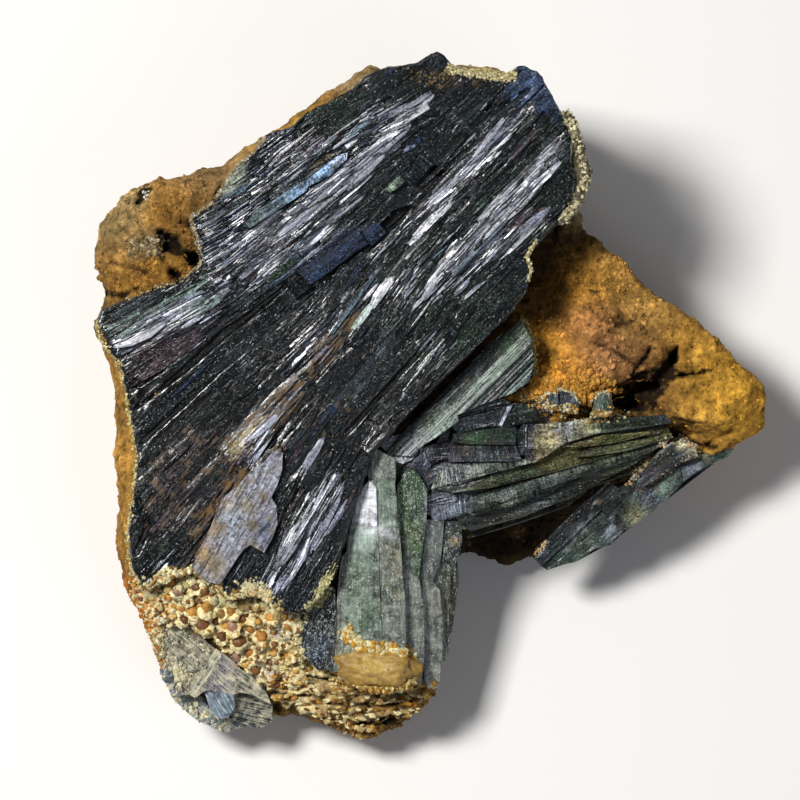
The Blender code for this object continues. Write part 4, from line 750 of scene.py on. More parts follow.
def grain_angle(x, y):
    """Direction of the plate's blades, in degrees."""
    total = weight = 0.0
    for gx, gy, angle in GRAIN:
        share = 1 / ((x - gx) ** 2 + (y - gy) ** 2 + GRAIN_REACH ** 2) ** 2
        total += share * angle
        weight += share
    return total / weight


def zone_share(zone, x, y):
    """1 in the middle of an oval zone, falling to 0 at its border. x and y are numbers or arrays."""
    (cx, cy), (long, wide), degrees = zone[:3]
    along = math.radians(degrees)
    u = (x - cx) * math.cos(along) + (y - cy) * math.sin(along)
    v = -(x - cx) * math.sin(along) + (y - cy) * math.cos(along)
    return np.maximum(0, 1 - (u / long) ** 2 - (v / wide) ** 2)


def zone_cover(zone, x, y):
    """1 over the inner half of an oval zone, falling to 0 at its border."""
    return np.minimum(1, 1.8 * zone_share(zone, x, y))


def zone_sum(zones, base, x, y):
    """A base and the strengths of the zones that a place lies in, kept between 0 and 1."""
    total = base + sum(zone[3] * zone_cover(zone, x, y) for zone in zones)
    return np.clip(total, 0, 1)


PLATE_SPAN_X, PLATE_SPAN_Y = (-54, 32), (-38, 62)  # that hold the whole plate
FLOW_SPAN = 50.0  # by which places are divided before their powers are taken
FLOW_DEGREE = 5  # of those powers
FLOW_STEP = 3  # between the places at which the flow is fitted to the blades' directions


def flow_terms(x, y):
    """Powers of places on the plate, and the slopes of these powers along x and along y."""
    x, y = x / FLOW_SPAN, y / FLOW_SPAN
    powers = [(i, j) for i in range(FLOW_DEGREE + 1) for j in range(FLOW_DEGREE + 1 - i) if i + j]
    values = [x ** i * y ** j for i, j in powers]
    by_x = [i * x ** max(i - 1, 0) * y ** j / FLOW_SPAN for i, j in powers]
    by_y = [j * x ** i * y ** max(j - 1, 0) / FLOW_SPAN for i, j in powers]
    return np.column_stack(values), np.column_stack(by_x), np.column_stack(by_y)


def plate_flow(x, y):
    """Places measured along and across the plate's blades, in lines that bend with the blades."""
    grid = [(a, b) for a in range(*PLATE_SPAN_X, FLOW_STEP) for b in range(*PLATE_SPAN_Y, FLOW_STEP)]
    spots = [(a, b) for a, b in grid if inside(PLATE_OUTLINE, a, b)]
    turns = np.radians([grain_angle(*spot) for spot in spots])
    fit_x, fit_y = np.array(spots, dtype=float).T
    _, by_x, by_y = flow_terms(fit_x, fit_y)
    slopes = np.vstack((by_x, by_y))
    values = flow_terms(x, y)[0]
    flow = []
    for wanted in ((np.cos(turns), np.sin(turns)), (-np.sin(turns), np.cos(turns))):
        weights = np.linalg.lstsq(slopes, np.concatenate(wanted), rcond=None)[0]
        flow.append(values @ weights)
    return flow


def blade_tint(draw, x, y, openness):
    """A tint for a loose blade: by chance a painted glint of silver, lilac or white, or slate blue, where
    cleavages lie open, else that of a zone or a common one.
    """
    if draw.random() < 0.5 * openness ** 1.6:
        names, weights = zip(*OPEN_GLINT_TINTS)
        return vary(draw, draw.choices(names, weights)[0])
    for *zone, tint, share in TINT_ZONES:
        if zone_share(zone, x, y) > 0 and draw.random() < share:
            return vary(draw, tint)
    names, weights = zip(*COMMON_TINTS)
    return vary(draw, draw.choices(names, weights)[0])


def vary(draw, tint, spread=0.3):
    """A tint made a little lighter or darker."""
    factor = draw.uniform(1 - spread, 1 + spread)
    return tuple(min(1.0, value * factor) for value in linear(TINTS[tint]))


# ---------------------------------------------------------------- materials


def add(tree, kind, inputs=(), out=0, stops=None, **settings):
    """Adds a node with its settings, sets or links its inputs by place or by name, and gives a colour ramp
    its stops. Returns one of its outputs, or all of them where out is None."""
    node = tree.nodes.new("ShaderNode" + kind)
    for name, value in settings.items():
        setattr(node, name, value)
    if stops:
        while len(node.color_ramp.elements) < len(stops):
            node.color_ramp.elements.new(0.5)
        for element, (position, colour) in zip(node.color_ramp.elements, stops):
            element.position = position
            element.color = rgba(linear(colour))
    for name, value in inputs.items() if isinstance(inputs, dict) else enumerate(inputs):
        if isinstance(value, bpy.types.NodeSocket):
            tree.links.new(value, node.inputs[name])
        else:
            node.inputs[name].default_value = value
    return node.outputs if out is None else node.outputs[out]


def new_material(name, roughness, ior, **values):
    """A Principled material, its node tree and its shader's inputs."""
    made = bpy.data.materials.new(name)
    made.use_nodes = True
    shader = made.node_tree.nodes["Principled BSDF"].inputs
    shader["Roughness"].default_value = roughness
    shader["IOR"].default_value = ior
    for socket, value in values.items():
        shader[socket.replace("_", " ")].default_value = value
    return made, made.node_tree, shader


def stretched(tree, grain, sizes, detail=2, roughness=0.55):
    """A pattern along the crystals' grain, whose features have the given sizes in millimetres."""
    scaled = add(tree, "Mapping", {"Vector": grain, "Scale": tuple(1 / size for size in sizes)})
    return add(tree, "TexNoise", {"Vector": scaled, "Scale": 1.0, "Detail": detail, "Roughness": roughness})


def grown_in_place(tree, size, detail=4, roughness=0.62, distortion=0.0):
    """A pattern fixed to the specimen, whose features have the given size in millimetres."""
    inputs = {"Vector": add(tree, "TexCoord", out="Object"), "Scale": 1 / (size * MM), "Detail": detail}
    inputs |= {"Roughness": roughness, "Distortion": distortion}
    return add(tree, "TexNoise", inputs)


def weighed(tree, *parts):
    """The sum of values, each times its weight."""
    total = 0.0
    for value, weight in parts:
        total = add(tree, "Math", (value, weight, total), operation="MULTIPLY_ADD")
    return total


def shaded_by(tree, colour, value, low, high, dark, light):
    """A colour that goes from dark to light as a value goes from low to high."""
    shade = add(tree, "MapRange", (value, low, high, dark, light))
    return add(tree, "Mix", {0: 1.0, 6: colour, 7: shade}, 2, data_type="RGBA", blend_type="MULTIPLY")


def over(tree, base, code, value, low=0.0, high=1.0, thin=0.0, thick=1.0):
    """A plain colour laid over a base, from thin to thick as a value goes from low to high."""
    amount = add(tree, "MapRange", (value, low, high, thin, thick))
    return add(tree, "Mix", {0: amount, 6: base, 7: rgba(linear(code))}, 2, data_type="RGBA")


def raised(tree, shader, height, mm, strength=1.0):
    """Gives the surface the fine relief of a pattern, its height in millimetres."""
    bump = add(tree, "Bump", {"Height": height, "Distance": mm * MM, "Strength": strength})
    tree.links.new(bump, shader["Normal"])


def crystal_attributes(tree):
    """A crystal's own grain, its tint and how open its cleavages lie."""
    grain = add(tree, "Attribute", out="Vector", attribute_name="grain")
    tint = add(tree, "Attribute", out=None, attribute_name="tint")
    return grain, tint["Color"], tint["Alpha"]


def limonite_material():
    """Limonite, earthy and weathered: dull and grainy, mottled from ochre to dark rust, with painted shade
    dark in its pores.
    """
    made, tree, shader = new_material("limonite_weathered", 0.95, 1.5, Specular_IOR_Level=0.2)
    tone = add(tree, "Attribute", out="Color", attribute_name="tint")
    patches = grown_in_place(tree, 6, 3, 0.6)
    clots = grown_in_place(tree, 2.0, 5, 0.65)
    grains = grown_in_place(tree, 0.7, 3, 0.6)
    shaded = shaded_by(tree, tone, patches, 0.36, 0.64, 0.72, 1.3)
    shaded = shaded_by(tree, shaded, clots, 0.36, 0.64, 0.62, 1.4)
    shaded = shaded_by(tree, shaded, grains, 0.34, 0.66, 0.72, 1.3)
    # Painted shade: near black in the pores, where the relief is low.
    dark = over(tree, shaded, "#1c1109", grains, 0.29, 0.35, 0.8, 0.0)
    flecked = over(tree, dark, "#b8984e", clots, 0.60, 0.70, 0.0, 0.3)
    tree.links.new(flecked, shader["Base Color"])
    raised(tree, shader, weighed(tree, (clots, 1.0), (grains, 1.0)), 0.35)
    return made


def cleavage_cells(tree, grain, mottle, cell):
    """Long cells along the grain, slightly bent, and the distance from their borders."""
    along, across, blade = add(tree, "SeparateXYZ", (grain,), None)
    placed = add(tree, "CombineXYZ", (along, weighed(tree, (mottle, 0.5), (across, 1.0)), blade))
    scaled = add(tree, "Mapping", {"Vector": placed, "Scale": (1 / cell[0], 1 / cell[1], 1.0)})
    cells = add(tree, "TexVoronoi", {"Vector": scaled, "Scale": 1.0}, None)
    border = add(tree, "TexVoronoi", {"Vector": scaled, "Scale": 1.0}, "Distance", feature="DISTANCE_TO_EDGE")
    return cells, border


def painted_glint_specks(tree, grain):
    """Painted glints: bright specks of splintered crystal, 0.7 by 0.4 mm apart."""
    dots = add(tree, "Mapping", {"Vector": grain, "Scale": (1 / 0.7, 1 / 0.4, 1.0)})
    speck = add(tree, "TexVoronoi", {"Vector": dots, "Scale": 1.0}, None)
    near = add(tree, "MapRange", (speck["Distance"], 0.14, 0.24, 0.75, 0.0))
    chosen = add(tree, "MapRange", (add(tree, "SeparateColor", (speck["Color"],)), 0.82, 0.86))
    return add(tree, "Math", (near, chosen), operation="MULTIPLY")


def cleaved_material(name, roughness, line=0.3, relief=0.03, glint="#c9cad2", cell=(9.0, 1.0)):
    """Cleaved crystal, glassy, near black where it is whole, with a painted silvery glint where a cleavage
    lies open: long thin cleavage cells and the fine striations along them break its gloss and that painted
    glint into threads, painted bright specks stand for glints off splinters, and rusty dust sits in its
    grooves. Real striations are a tenth of a millimetre apart and are drawn three times as coarse."""
    made, tree, shader = new_material(name, roughness, 1.6, Specular_IOR_Level=0.32)
    grain, tint, openness = crystal_attributes(tree)
    marks = add(tree, "Attribute", out="Vector", attribute_name="marks")
    dust, ribbing, _ = add(tree, "SeparateXYZ", (marks,), None)
    broad = stretched(tree, grain, (9.0, 3.0 * line, 1.0))
    fine = stretched(tree, grain, (3.6, line, 1.0))
    threads = stretched(tree, grain, (1.2, 0.6 * line, 1.0))
    streaks = weighed(tree, (broad, 0.3), (fine, 0.4), (threads, 0.3))
    grit = grown_in_place(tree, 0.4, 2, 0.7)
    ribs = stretched(tree, grain, (0.4, 3.4, 1.0), 3)
    mottle = grown_in_place(tree, 2.6)

    # Each cell has a shade, a chance of painted glint and a glint colour of its own.
    cells, border = cleavage_cells(tree, grain, mottle, cell)
    own_shade, own_glint_chance, own_glint = add(tree, "SeparateColor", (cells["Color"],), None)
    body = shaded_by(tree, tint, own_shade, 0.0, 1.0, 0.45, 1.9)
    body = shaded_by(tree, body, mottle, 0.35, 0.65, 0.55, 1.5)
    body = shaded_by(tree, body, grit, 0.38, 0.62, 0.3, 1.8)
    lined = shaded_by(tree, body, streaks, 0.38, 0.62, 0.3, 2.0)
    crossed = shaded_by(tree, body, ribs, 0.38, 0.62, 0.25, 2.3)
    ribbed = add(tree, "Mix", {0: ribbing, 6: lined, 7: crossed}, 2, data_type="RGBA")
    # Painted glint: a silvery colour laid where cleavages lie open, in place of the light they would reflect.
    glint_weight = weighed(tree, (streaks, 1.0), (openness, 0.12), (grit, 0.35), (own_glint_chance, 0.05))
    silver = add(tree, "MapRange", (glint_weight, 0.80, 0.88, 0.0, 0.9))
    glint_colours = add(tree, "ValToRGB", (own_glint,), stops=((0.1, "#4e5162"), (0.55, "#7c7f90"), (0.95, glint)))
    glint_painted = add(tree, "Mix", {0: silver, 6: ribbed, 7: glint_colours}, 2, data_type="RGBA")
    edged = shaded_by(tree, glint_painted, border, 0.01, 0.04, 0.5, 1.0)
    specked = over(tree, edged, "#b4b8b6", painted_glint_specks(tree, grain))

    settled = weighed(tree, (grown_in_place(tree, 1.8), 0.6), (fine, 0.4), (dust, 0.17))
    dusty = add(tree, "MapRange", (settled, 0.6, 0.78, 0.0, 0.85))
    tree.links.new(over(tree, specked, "#735424", dusty), shader["Base Color"])
    worn = roughness
    for value, low, high, smooth, rough in (
        (silver, 0.0, 1.0, roughness, roughness + 0.14),
        (dusty, 0.0, 0.85, roughness, 0.85),
        (openness, -0.9, -2.5, 0.0, 0.75),
    ):
        dulled = add(tree, "MapRange", (value, low, high, smooth, rough))
        worn = add(tree, "Math", (worn, dulled), operation="MAXIMUM")
    tree.links.new(worn, shader["Roughness"])
    crossing = add(tree, "Math", (ribs, ribbing), operation="MULTIPLY")
    grains = add(tree, "MapRange", (grit, 0.56, 0.68, 0.0, 0.9))
    height = weighed(tree, (streaks, 1.0), (crossing, 1.0), (cells["Distance"], -1.2), (grains, 1.0))
    raised(tree, shader, height, relief * 2)
    return made


def clear_material():
    """Pale crystal, grey green and glassy, clouded by healed cracks: one sees a little way into it. Feathery
    veils and fine specks inside it are painted pale where they catch the light, and faint lines cross it
    where it grew in steps."""
    made, tree, shader = new_material("crystal_pale_glass", 0.14, 1.6, Transmission_Weight=0.25)
    grain, tint, _ = crystal_attributes(tree)
    clouds = grown_in_place(tree, 2.4, 6, 0.72, 0.6)
    veils = grown_in_place(tree, 1.3, 5, 0.7, 1.4)
    grit = grown_in_place(tree, 0.4, 2, 0.6)
    striae = stretched(tree, grain, (9, 0.5, 1), 3, 0.6)
    steps = stretched(tree, grain, (0.35, 9, 1), 2, 0.6)
    healed = stretched(tree, grain, (5.0, 1.5, 1), 5, 0.66)
    shaded = shaded_by(tree, tint, clouds, 0.36, 0.64, 0.35, 2.3)
    shaded = shaded_by(tree, shaded, striae, 0.36, 0.64, 0.75, 1.25)
    shaded = shaded_by(tree, shaded, steps, 0.36, 0.64, 0.85, 1.15)
    dark = over(tree, shaded, "#20281c", veils, 0.33, 0.40, 0.6, 0.0)
    veiled = over(tree, dark, "#a9b3a8", veils, 0.56, 0.66, 0.0, 0.6)
    away = add(tree, "Math", (add(tree, "Math", (healed, 0.5), operation="SUBTRACT"),), operation="ABSOLUTE")
    seam = add(tree, "MapRange", (away, 0.0, 0.012, 0.95, 0.0))
    clouded = add(tree, "MapRange", (clouds, 0.40, 0.52))
    cracked = over(tree, veiled, "#dde3da", add(tree, "Math", (seam, clouded), operation="MULTIPLY"))
    specked = over(tree, cracked, "#d6dcd4", grit, 0.63, 0.67, 0.0, 0.8)
    tree.links.new(specked, shader["Base Color"])
    raised(tree, shader, weighed(tree, (striae, 1.0), (veils, 1.0)), 0.12)
    return made


def frosted_material():
    """Crystal faces dulled by dried cream clay that clings to their ridges, with dark lines between."""
    made, tree, shader = new_material("crystal_clay_coated", 0.6, 1.6)
    grain, tint, openness = crystal_attributes(tree)
    lines = stretched(tree, grain, (4.5, 0.3, 1), 3, 0.6)
    blotch = grown_in_place(tree, 1.8, 5, 0.7, 0.4)
    pits = grown_in_place(tree, 0.9, 3, 0.6)
    shaded = shaded_by(tree, tint, lines, 0.40, 0.60, 0.4, 1.6)
    shaded = shaded_by(tree, shaded, blotch, 0.36, 0.64, 0.7, 1.5)
    held = weighed(tree, (blotch, 0.62), (lines, 0.38), (openness, 0.07))
    clay = add(tree, "MapRange", (held, 0.46, 0.62, 0.0, 0.95))
    # Painted shade: near black in the pits, where the relief is low.
    holed = over(tree, over(tree, shaded, "#d2ccb0", clay), "#2a2a26", pits, 0.30, 0.36, 0.85, 0.0)
    tree.links.new(holed, shader["Base Color"])
    tree.links.new(add(tree, "MapRange", (clay, 0.0, 1.0, 0.4, 0.9)), shader["Roughness"])
    depth = add(tree, "MapRange", (pits, 0.30, 0.42))
    raised(tree, shader, weighed(tree, (clay, 1.0), (lines, 1.0), (depth, 1.0)), 0.2)
    return made


def tarnished_material():
    """A crystal face gone dull: grey, finely wrinkled, with ochre dust in its cracks."""
    made, tree, shader = new_material("crystal_face_tarnished", 0.62, 1.6)
    grain, tint, _ = crystal_attributes(tree)
    wrinkles = grown_in_place(tree, 0.7, 4, 0.65, 0.8)
    patches = grown_in_place(tree, 2.6, 4, 0.6)
    lines = stretched(tree, grain, (5, 0.5, 1), 3, 0.6)
    shaded = shaded_by(tree, tint, wrinkles, 0.38, 0.62, 0.25, 1.8)
    shaded = shaded_by(tree, shaded, lines, 0.36, 0.64, 0.6, 1.5)
    dusted = over(tree, shaded, "#6b5d3e", patches, 0.52, 0.62, 0.0, 0.6)
    dark = over(tree, dusted, "#151617", lines, 0.36, 0.42, 0.9, 0.0)
    tree.links.new(dark, shader["Base Color"])
    raised(tree, shader, weighed(tree, (wrinkles, 1.0), (lines, 1.0)), 0.15)
    return made


def crust_material(name, roughness, mottle, shine):
    """Dried earthy crust of beads and crumbs: powdery, uneven from bead to bead, waxier on the beads."""
    made, tree, shader = new_material(name, roughness, 1.5, Specular_IOR_Level=shine)
    tint = add(tree, "Attribute", out="Color", attribute_name="tint")
    blotch = grown_in_place(tree, mottle, 4, 0.65)
    tree.links.new(shaded_by(tree, tint, blotch, 0.3, 0.7, 0.6, 1.4), shader["Base Color"])
    raised(tree, shader, blotch, 0.25, 0.7)
    return made


def floor_material(settings):
    """Studio paper, matt."""
    made, _, shader = new_material("studio_paper", 0.95, 1.5)
    shader["Base Color"].default_value = rgba(settings.floor)
    return made


# ---------------------------------------------------------------- settings


def colour_setting(name, description, code):
    return FloatVectorProperty(
        name=name, description=description, subtype="COLOR", size=3, min=0, max=1, default=linear(code)
    )


def length_setting(name, description, mm):
    return FloatProperty(
        name=name, description=description, default=mm * MM, min=0, unit="LENGTH", precision=5
    )


def count_setting(name, description, count):
    return IntProperty(name=name, description=description, default=count, min=0)


class RockSettings(bpy.types.PropertyGroup):
    voxel: length_setting("Mesh size", "Edge length of the rock's mesh", 0.6)
    lumps: length_setting("Lumps", "Height of the broad lumps", 0.7)
    crumbs: length_setting("Crumbs", "Height of the crumbly grains", 0.7)
    base: colour_setting("Limonite", "Colour of the rock away from its coloured zones", ROCK_BASE)


class BladeSettings(bpy.types.PropertyGroup):
    voxel: length_setting("Mesh size", "Edge length of the plate's mesh", 0.43)
    planks: count_setting("Planks", "Tries at laying a broad blade on the plate", 420)
    blades: count_setting("Blades", "Tries at laying a middling blade", 2400)
    slivers: count_setting("Slivers", "Tries at laying a thin splinter", 9000)
    seed: count_setting("Seed", "Draw of the loose blades", 5)


class CrustSettings(bpy.types.PropertyGroup):
    voxel: length_setting("Mesh size", "Edge length of the crust's mesh", 0.33)
    crumbs: count_setting("Crumbs", "Number of small crumbs on the crust", 2600)
    cream: colour_setting("Cream", "Colour of the pale clay", "#ddd0a0")


class StageSettings(bpy.types.PropertyGroup):
    floor: colour_setting("Floor", "Colour of the studio paper", "#e9e8e6")
    distance: length_setting("Camera distance", "From the crystal face", 1600)
    width: length_setting("Picture width", "Width of the picture at the crystal face", 140)


# ---------------------------------------------------------------- pieces


def remeshed(node, voxel):
    """A CAD node's form as an even, closed mesh."""
    obj = bpy.data.objects.new(node + "_form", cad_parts[node].data.copy())
    bpy.context.scene.collection.objects.link(obj)
    remesh = obj.modifiers.new("voxels", "REMESH")
    remesh.mode = "VOXEL"
    remesh.voxel_size = voxel
    graph = bpy.context.evaluated_depsgraph_get()
    mesh = bpy.data.meshes.new_from_object(obj.evaluated_get(graph))
    bpy.data.objects.remove(obj)
    return mesh


def mesh_arrays(mesh):
    """Points and normals of a mesh in the face frame, in millimetres."""
    count = len(mesh.vertices)
    points = np.zeros(count * 3)
    normals = np.zeros(count * 3)
    mesh.vertices.foreach_get("co", points)
    mesh.vertices.foreach_get("normal", normals)
    to_face = np.array(TO_FACE)
    points = points.reshape(-1, 3) @ to_face[:3, :3].T + to_face[:3, 3]
    normals = normals.reshape(-1, 3) @ np.array(FACE.to_3x3())
    return points, normals


def set_points(mesh, points):
    """Points of the face frame written back to a mesh, none of them below the floor."""
    turned = world_points(points)
    turned[:, 2] = np.maximum(turned[:, 2], 0)
    mesh.vertices.foreach_set("co", turned.ravel())
    mesh.update()


def paint(mesh, colours, openness=1.0):
    """Sets the tint of a mesh's points, whose fourth value is how open a crystal's cleavages lie."""
    tint = np.empty((len(colours), 4))
    tint[:, :3] = colours
    tint[:, 3] = openness
    set_attribute(mesh, "tint", tint)


def height_over_floor(points):
    """Height of points of the face frame over the floor, in millimetres."""
    lean = math.radians(FACE_LEAN)
    return FACE_HEIGHT + points[:, 1] * math.sin(lean) + points[:, 2] * math.cos(lean)


def cell_height(spot, size, seed):
    """A rounded grain over each cell of a random pattern: 0 between grains, 1 on top."""
    nearest = noise.voronoi(spot / size + seed)[0][0]
    return max(0.0, 1 - nearest * 1.5)


def share_along(points, path):
    """Distance of each point from a path of x, y and half width, as a share of the half width there."""
    best = np.full(len(points), np.inf)
    for (xa, ya, first), (xb, yb, last) in zip(path, path[1:]):
        run_x, run_y = xb - xa, yb - ya
        share = ((points[:, 0] - xa) * run_x + (points[:, 1] - ya) * run_y) / (run_x * run_x + run_y * run_y)
        share = np.clip(share, 0, 1)
        away = np.hypot(points[:, 0] - xa - share * run_x, points[:, 1] - ya - share * run_y)
        best = np.minimum(best, away / (first + (last - first) * share))
    return best


def sunk(points, cuts, floor=1.0):
    """How deep cuts are sunk at each point. A floor above 1 gives them a flat one."""
    drop = np.zeros(len(points))
    for depth, path in cuts:
        drop = np.maximum(drop, depth * np.clip(floor - share_along(points, path) ** 2, 0, 1))
    return drop


def zone_colours(points, zones, base, base_weight):
    """Colour at each point: the zones' colours and the base, weighed by how near each zone is."""
    colours = np.tile(base * base_weight, (len(points), 1))
    weights = np.full(len(points), base_weight)
    for (x, y), reach, code, strength in zones:
        share = strength * np.exp(-1.2 * ((points[:, 0] - x) ** 2 + (points[:, 1] - y) ** 2) / reach ** 2)
        colours += share[:, None] * np.array(linear(code))
        weights += share
    return colours / weights[:, None]


ROCK_BASE_WEIGHT = 0.3  # of the rock's own colour among those of its zones
ROCK_SEED = Vector((3.1, 7.7, 1.3))  # where its patterns begin
ROCK_LUMP = 7.0  # size of its broad lumps
ROCK_GRAIN = 2.3  # size of its crumbly grains
ROCK_FINE = 1.2  # size of the small grains between them
ROCK_CRACK = 4.5  # size of the pieces between its cracks
ROCK_PATCH = 8.0  # size of the patches where it crumbles


def rock_colours_and_shadows(points, settings):
    return zone_colours(points, ROCK_COLOURS_AND_SHADOWS, np.array(settings.base), ROCK_BASE_WEIGHT)


def build_rock(settings):
    """The limonite, lumpy and grainy with its openings sunk into it. Returns its mesh."""
    mesh = remeshed("limonite_matrix", settings.voxel)
    points, normals = mesh_arrays(mesh)
    lumps, crumbs = settings.lumps / MM, settings.crumbs / MM
    foot = np.clip((height_over_floor(points) - 0.2) / 2.0, 0, 1)
    drop = np.zeros(len(points))
    ragged = np.array([noise.noise(Vector(p) / 1.2) + 0.5 * noise.noise(Vector(p) / 0.5) for p in points])
    for depth, path in CREVICES:
        away = share_along(points, path) * (1 + 0.55 * ragged)
        drop = np.maximum(drop, depth * np.clip(1 - away ** 3, 0, 1))
    drop[normals[:, 2] < 0.2] = 0
    relief = np.zeros(len(points))
    shade = np.zeros(len(points))
    for i, (x, y, w) in enumerate(points):
        spot = Vector((x, y, w))
        broad = noise.fractal(spot / ROCK_LUMP, 0.8, 2.1, 4)
        grain = cell_height(spot + Vector((0.5, 0.2, 0)) * broad, ROCK_GRAIN, ROCK_SEED)
        fine = cell_height(spot, ROCK_FINE, ROCK_SEED)
        crack = max(0.0, 1 - abs(noise.fractal(spot / ROCK_CRACK + ROCK_SEED, 0.9, 2.2, 3)) / 0.07)
        patch = min(1, max(0, 0.55 + 1.8 * noise.noise(spot / ROCK_PATCH + ROCK_SEED)))
        relief[i] = lumps * broad + crumbs * (grain * patch + 0.5 * fine) - 0.7 * crack * patch
        # shade is painted light and shade on the relief: lighter on the grains and lumps, darker in the
        # cracks.
        shade[i] = 0.62 + 0.5 * grain * patch + 0.3 * fine + 0.3 * broad - 0.45 * crack * patch
    moved = points + normals * (relief * foot)[:, None]
    moved[:, 2] -= drop
    colours = rock_colours_and_shadows(points, settings) * np.clip(shade, 0.15, 1.35)[:, None]
    set_points(mesh, moved)
    # Painted shade: the openings darker the deeper they are sunk.
    paint(mesh, colours * np.clip(1 - drop / 1.1, 0.06, 1)[:, None])
    rock = piece("limonite_rock", mesh, limonite_material(), smooth=True)
    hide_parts("limonite_matrix")
    return mesh


def scatter_granules(settings, rock):
    """Loose grains of limonite where the rock crumbles, none of them over its openings."""
    draw = random.Random(17)
    tree = surface_of(rock)
    bundle = Bundle()
    for (left, right), (low, high), count, sizes in GRANULE_FIELDS:
        for _ in range(count):
            x, y = draw.uniform(left, right), draw.uniform(low, high)
            if noise.noise(Vector((x, y, 5)) / 4.0) < -0.12 or inside(PLATE_OUTLINE, x, y):
                continue
            w = level(tree, x, y)
            spot = np.array([(x, y, 0)])
            if w is None or any(share_along(spot, path)[0] < 1.1 for _, path in CREVICES):
                continue
            radius = draw.uniform(*sizes) * draw.uniform(0.6, 1)
            colour = rock_colours_and_shadows(spot, settings)[0] * draw.uniform(0.6, 1.35)
            radii = (radius * draw.uniform(0.9, 1.5), radius, radius * draw.uniform(0.6, 0.9))
            add_crumb(bundle, draw, (x, y, w), radii, colour, detail=1, rough=0.6)
    grains = bundle.make("limonite_granules", rock.materials[0])


SINK = 0.8  # how far under its middle the ends of a laid blade may rest
STEEPEST = 4.0  # degrees by which a laid blade may be pitched


def lay_blade(bundle, draw, tree, centre, lift, roll, yaw, look, length, depth, **shape):
    """Lays a blade along the plate with its middle at the centre, on what carries it at its two ends."""
    reach = Vector((math.cos(math.radians(yaw)), math.sin(math.radians(yaw)))) * length * 0.35
    middle = level(tree, *centre)
    if middle is None:
        return
    foot = level(tree, centre[0] - reach.x, centre[1] - reach.y)
    tip = level(tree, centre[0] + reach.x, centre[1] + reach.y)
    foot = middle if foot is None else max(foot, middle - SINK)
    tip = middle if tip is None else max(tip, middle - SINK)
    pitch = math.degrees(math.atan2(tip - foot, 2 * reach.length))
    pitch = max(-STEEPEST, min(STEEPEST, pitch)) + draw.uniform(-0.8, 0.8)
    low = min(middle, (foot + tip) / 2) + lift
    points, faces, grain = blade_shape(draw, length, depth=depth, **shape)
    points = place(points - np.array((length / 2, 0, depth * 0.5)), (*centre, low), yaw, pitch, roll)
    bundle.add(points, faces, grain, *look)


def is_free(x, y):
    """Whether a scattered blade may cover this place of the plate."""
    if not inside(PLATE_OUTLINE, x, y) or inside(TARNISHED_FACE, x, y):
        return False
    return not any(inside(crystal[0], x, y) for crystal in PLATE_CRYSTALS)


# Places over a blade that have to be free, as shares of its length and of its width.
BLADE_SPOTS = [(along, side) for along in (-0.5, -0.3, -0.1, 0.1, 0.3, 0.5) for side in (-0.4, 0.4)]
SHORTEST = 1.2  # of the loose blades


def fitting_length(x, y, yaw, length, width):
    """The longest blade that may lie here, or 0 where none does."""
    run_x, run_y = math.cos(math.radians(yaw)), math.sin(math.radians(yaw))
    while length > SHORTEST:
        spots = [(along * length, side * width) for along, side in BLADE_SPOTS]
        if all(is_free(x + a * run_x - b * run_y, y + a * run_y + b * run_x) for a, b in spots):
            return length
        length *= 0.8
    return 0


# Layers of loose blades: piece, the setting that holds its tries, range of widths and of lengths, depth,
# range of lifts, width of a strip and share with broken ends.
LAYERS = (
    ("plate_planks", "planks", (1.6, 3.2), (10, 22), 0.4, (-0.1, 0.2), 0.42, 0.3),
    ("plate_blades", "blades", (0.5, 1.3), (5, 15), 0.35, (0.0, 0.4), 0.34, 0.2),
    ("plate_slivers", "slivers", (0.14, 0.38), (1.6, 8), 0.2, (0.1, 0.6), 0.3, 0.1),
)
COMMON_OPENNESS = 0.12  # away from the zones where cleavages lie open


def scatter_blades(name, draw, tree, count, widths, lengths, depth, lifts, strip, broken, material):
    """A layer of blades over the plate, dense where its cleavages lie open and sparse where it is whole."""
    bundle = Bundle()
    grid = [(x, y) for x in range(*PLATE_SPAN_X) for y in range(*PLATE_SPAN_Y)]
    area = [(x, y) for x, y in grid if inside(PLATE_OUTLINE, x + 0.5, y + 0.5)]
    draw.shuffle(area)
    for number in range(count):
        cell_x, cell_y = area[number % len(area)]
        x, y = cell_x + draw.random(), cell_y + draw.random()
        openness = float(zone_sum(OPEN_AND_GLINT_ZONES, COMMON_OPENNESS, x, y))
        chance = 0.03 + 1.2 * openness ** 1.3
        if draw.random() > chance:
            continue
        width = draw.uniform(*widths)
        yaw = grain_angle(x, y) + draw.gauss(0, 2.2)
        length = fitting_length(x, y, yaw, draw.uniform(*lengths), width)
        if length < 2.2 * width:
            continue
        look = (blade_tint(draw, x, y, openness), openness, float(zone_sum(DUST_ZONES, 0.0, x, y)))
        stations = BROKEN if draw.random() < broken else POINTED
        lift, roll = draw.uniform(*lifts), draw.gauss(3 - 8 * openness, 2 + 6 * openness)
        lay_blade(
            bundle, draw, tree, (x, y), lift, roll, yaw, look, length, depth, width=width,
            strips=max(2, round(width / strip)), stations=stations, ruffle=0.1 + 0.6 * openness
        )
    made = bundle.make(name, material)


CLEAVAGE_LENGTH, CLEAVAGE_WIDTH = 15.0, 2.2  # of the plate's broad cleavage steps
SOFT_CELL = 1.0  # of the grid on which the plate's level is evened out
SOFT_REACH = 6.0  # over which it is evened out
GRID_HALF = 64  # half the width of that grid
BODY_LEVEL = -5.0  # below it the plate keeps its form


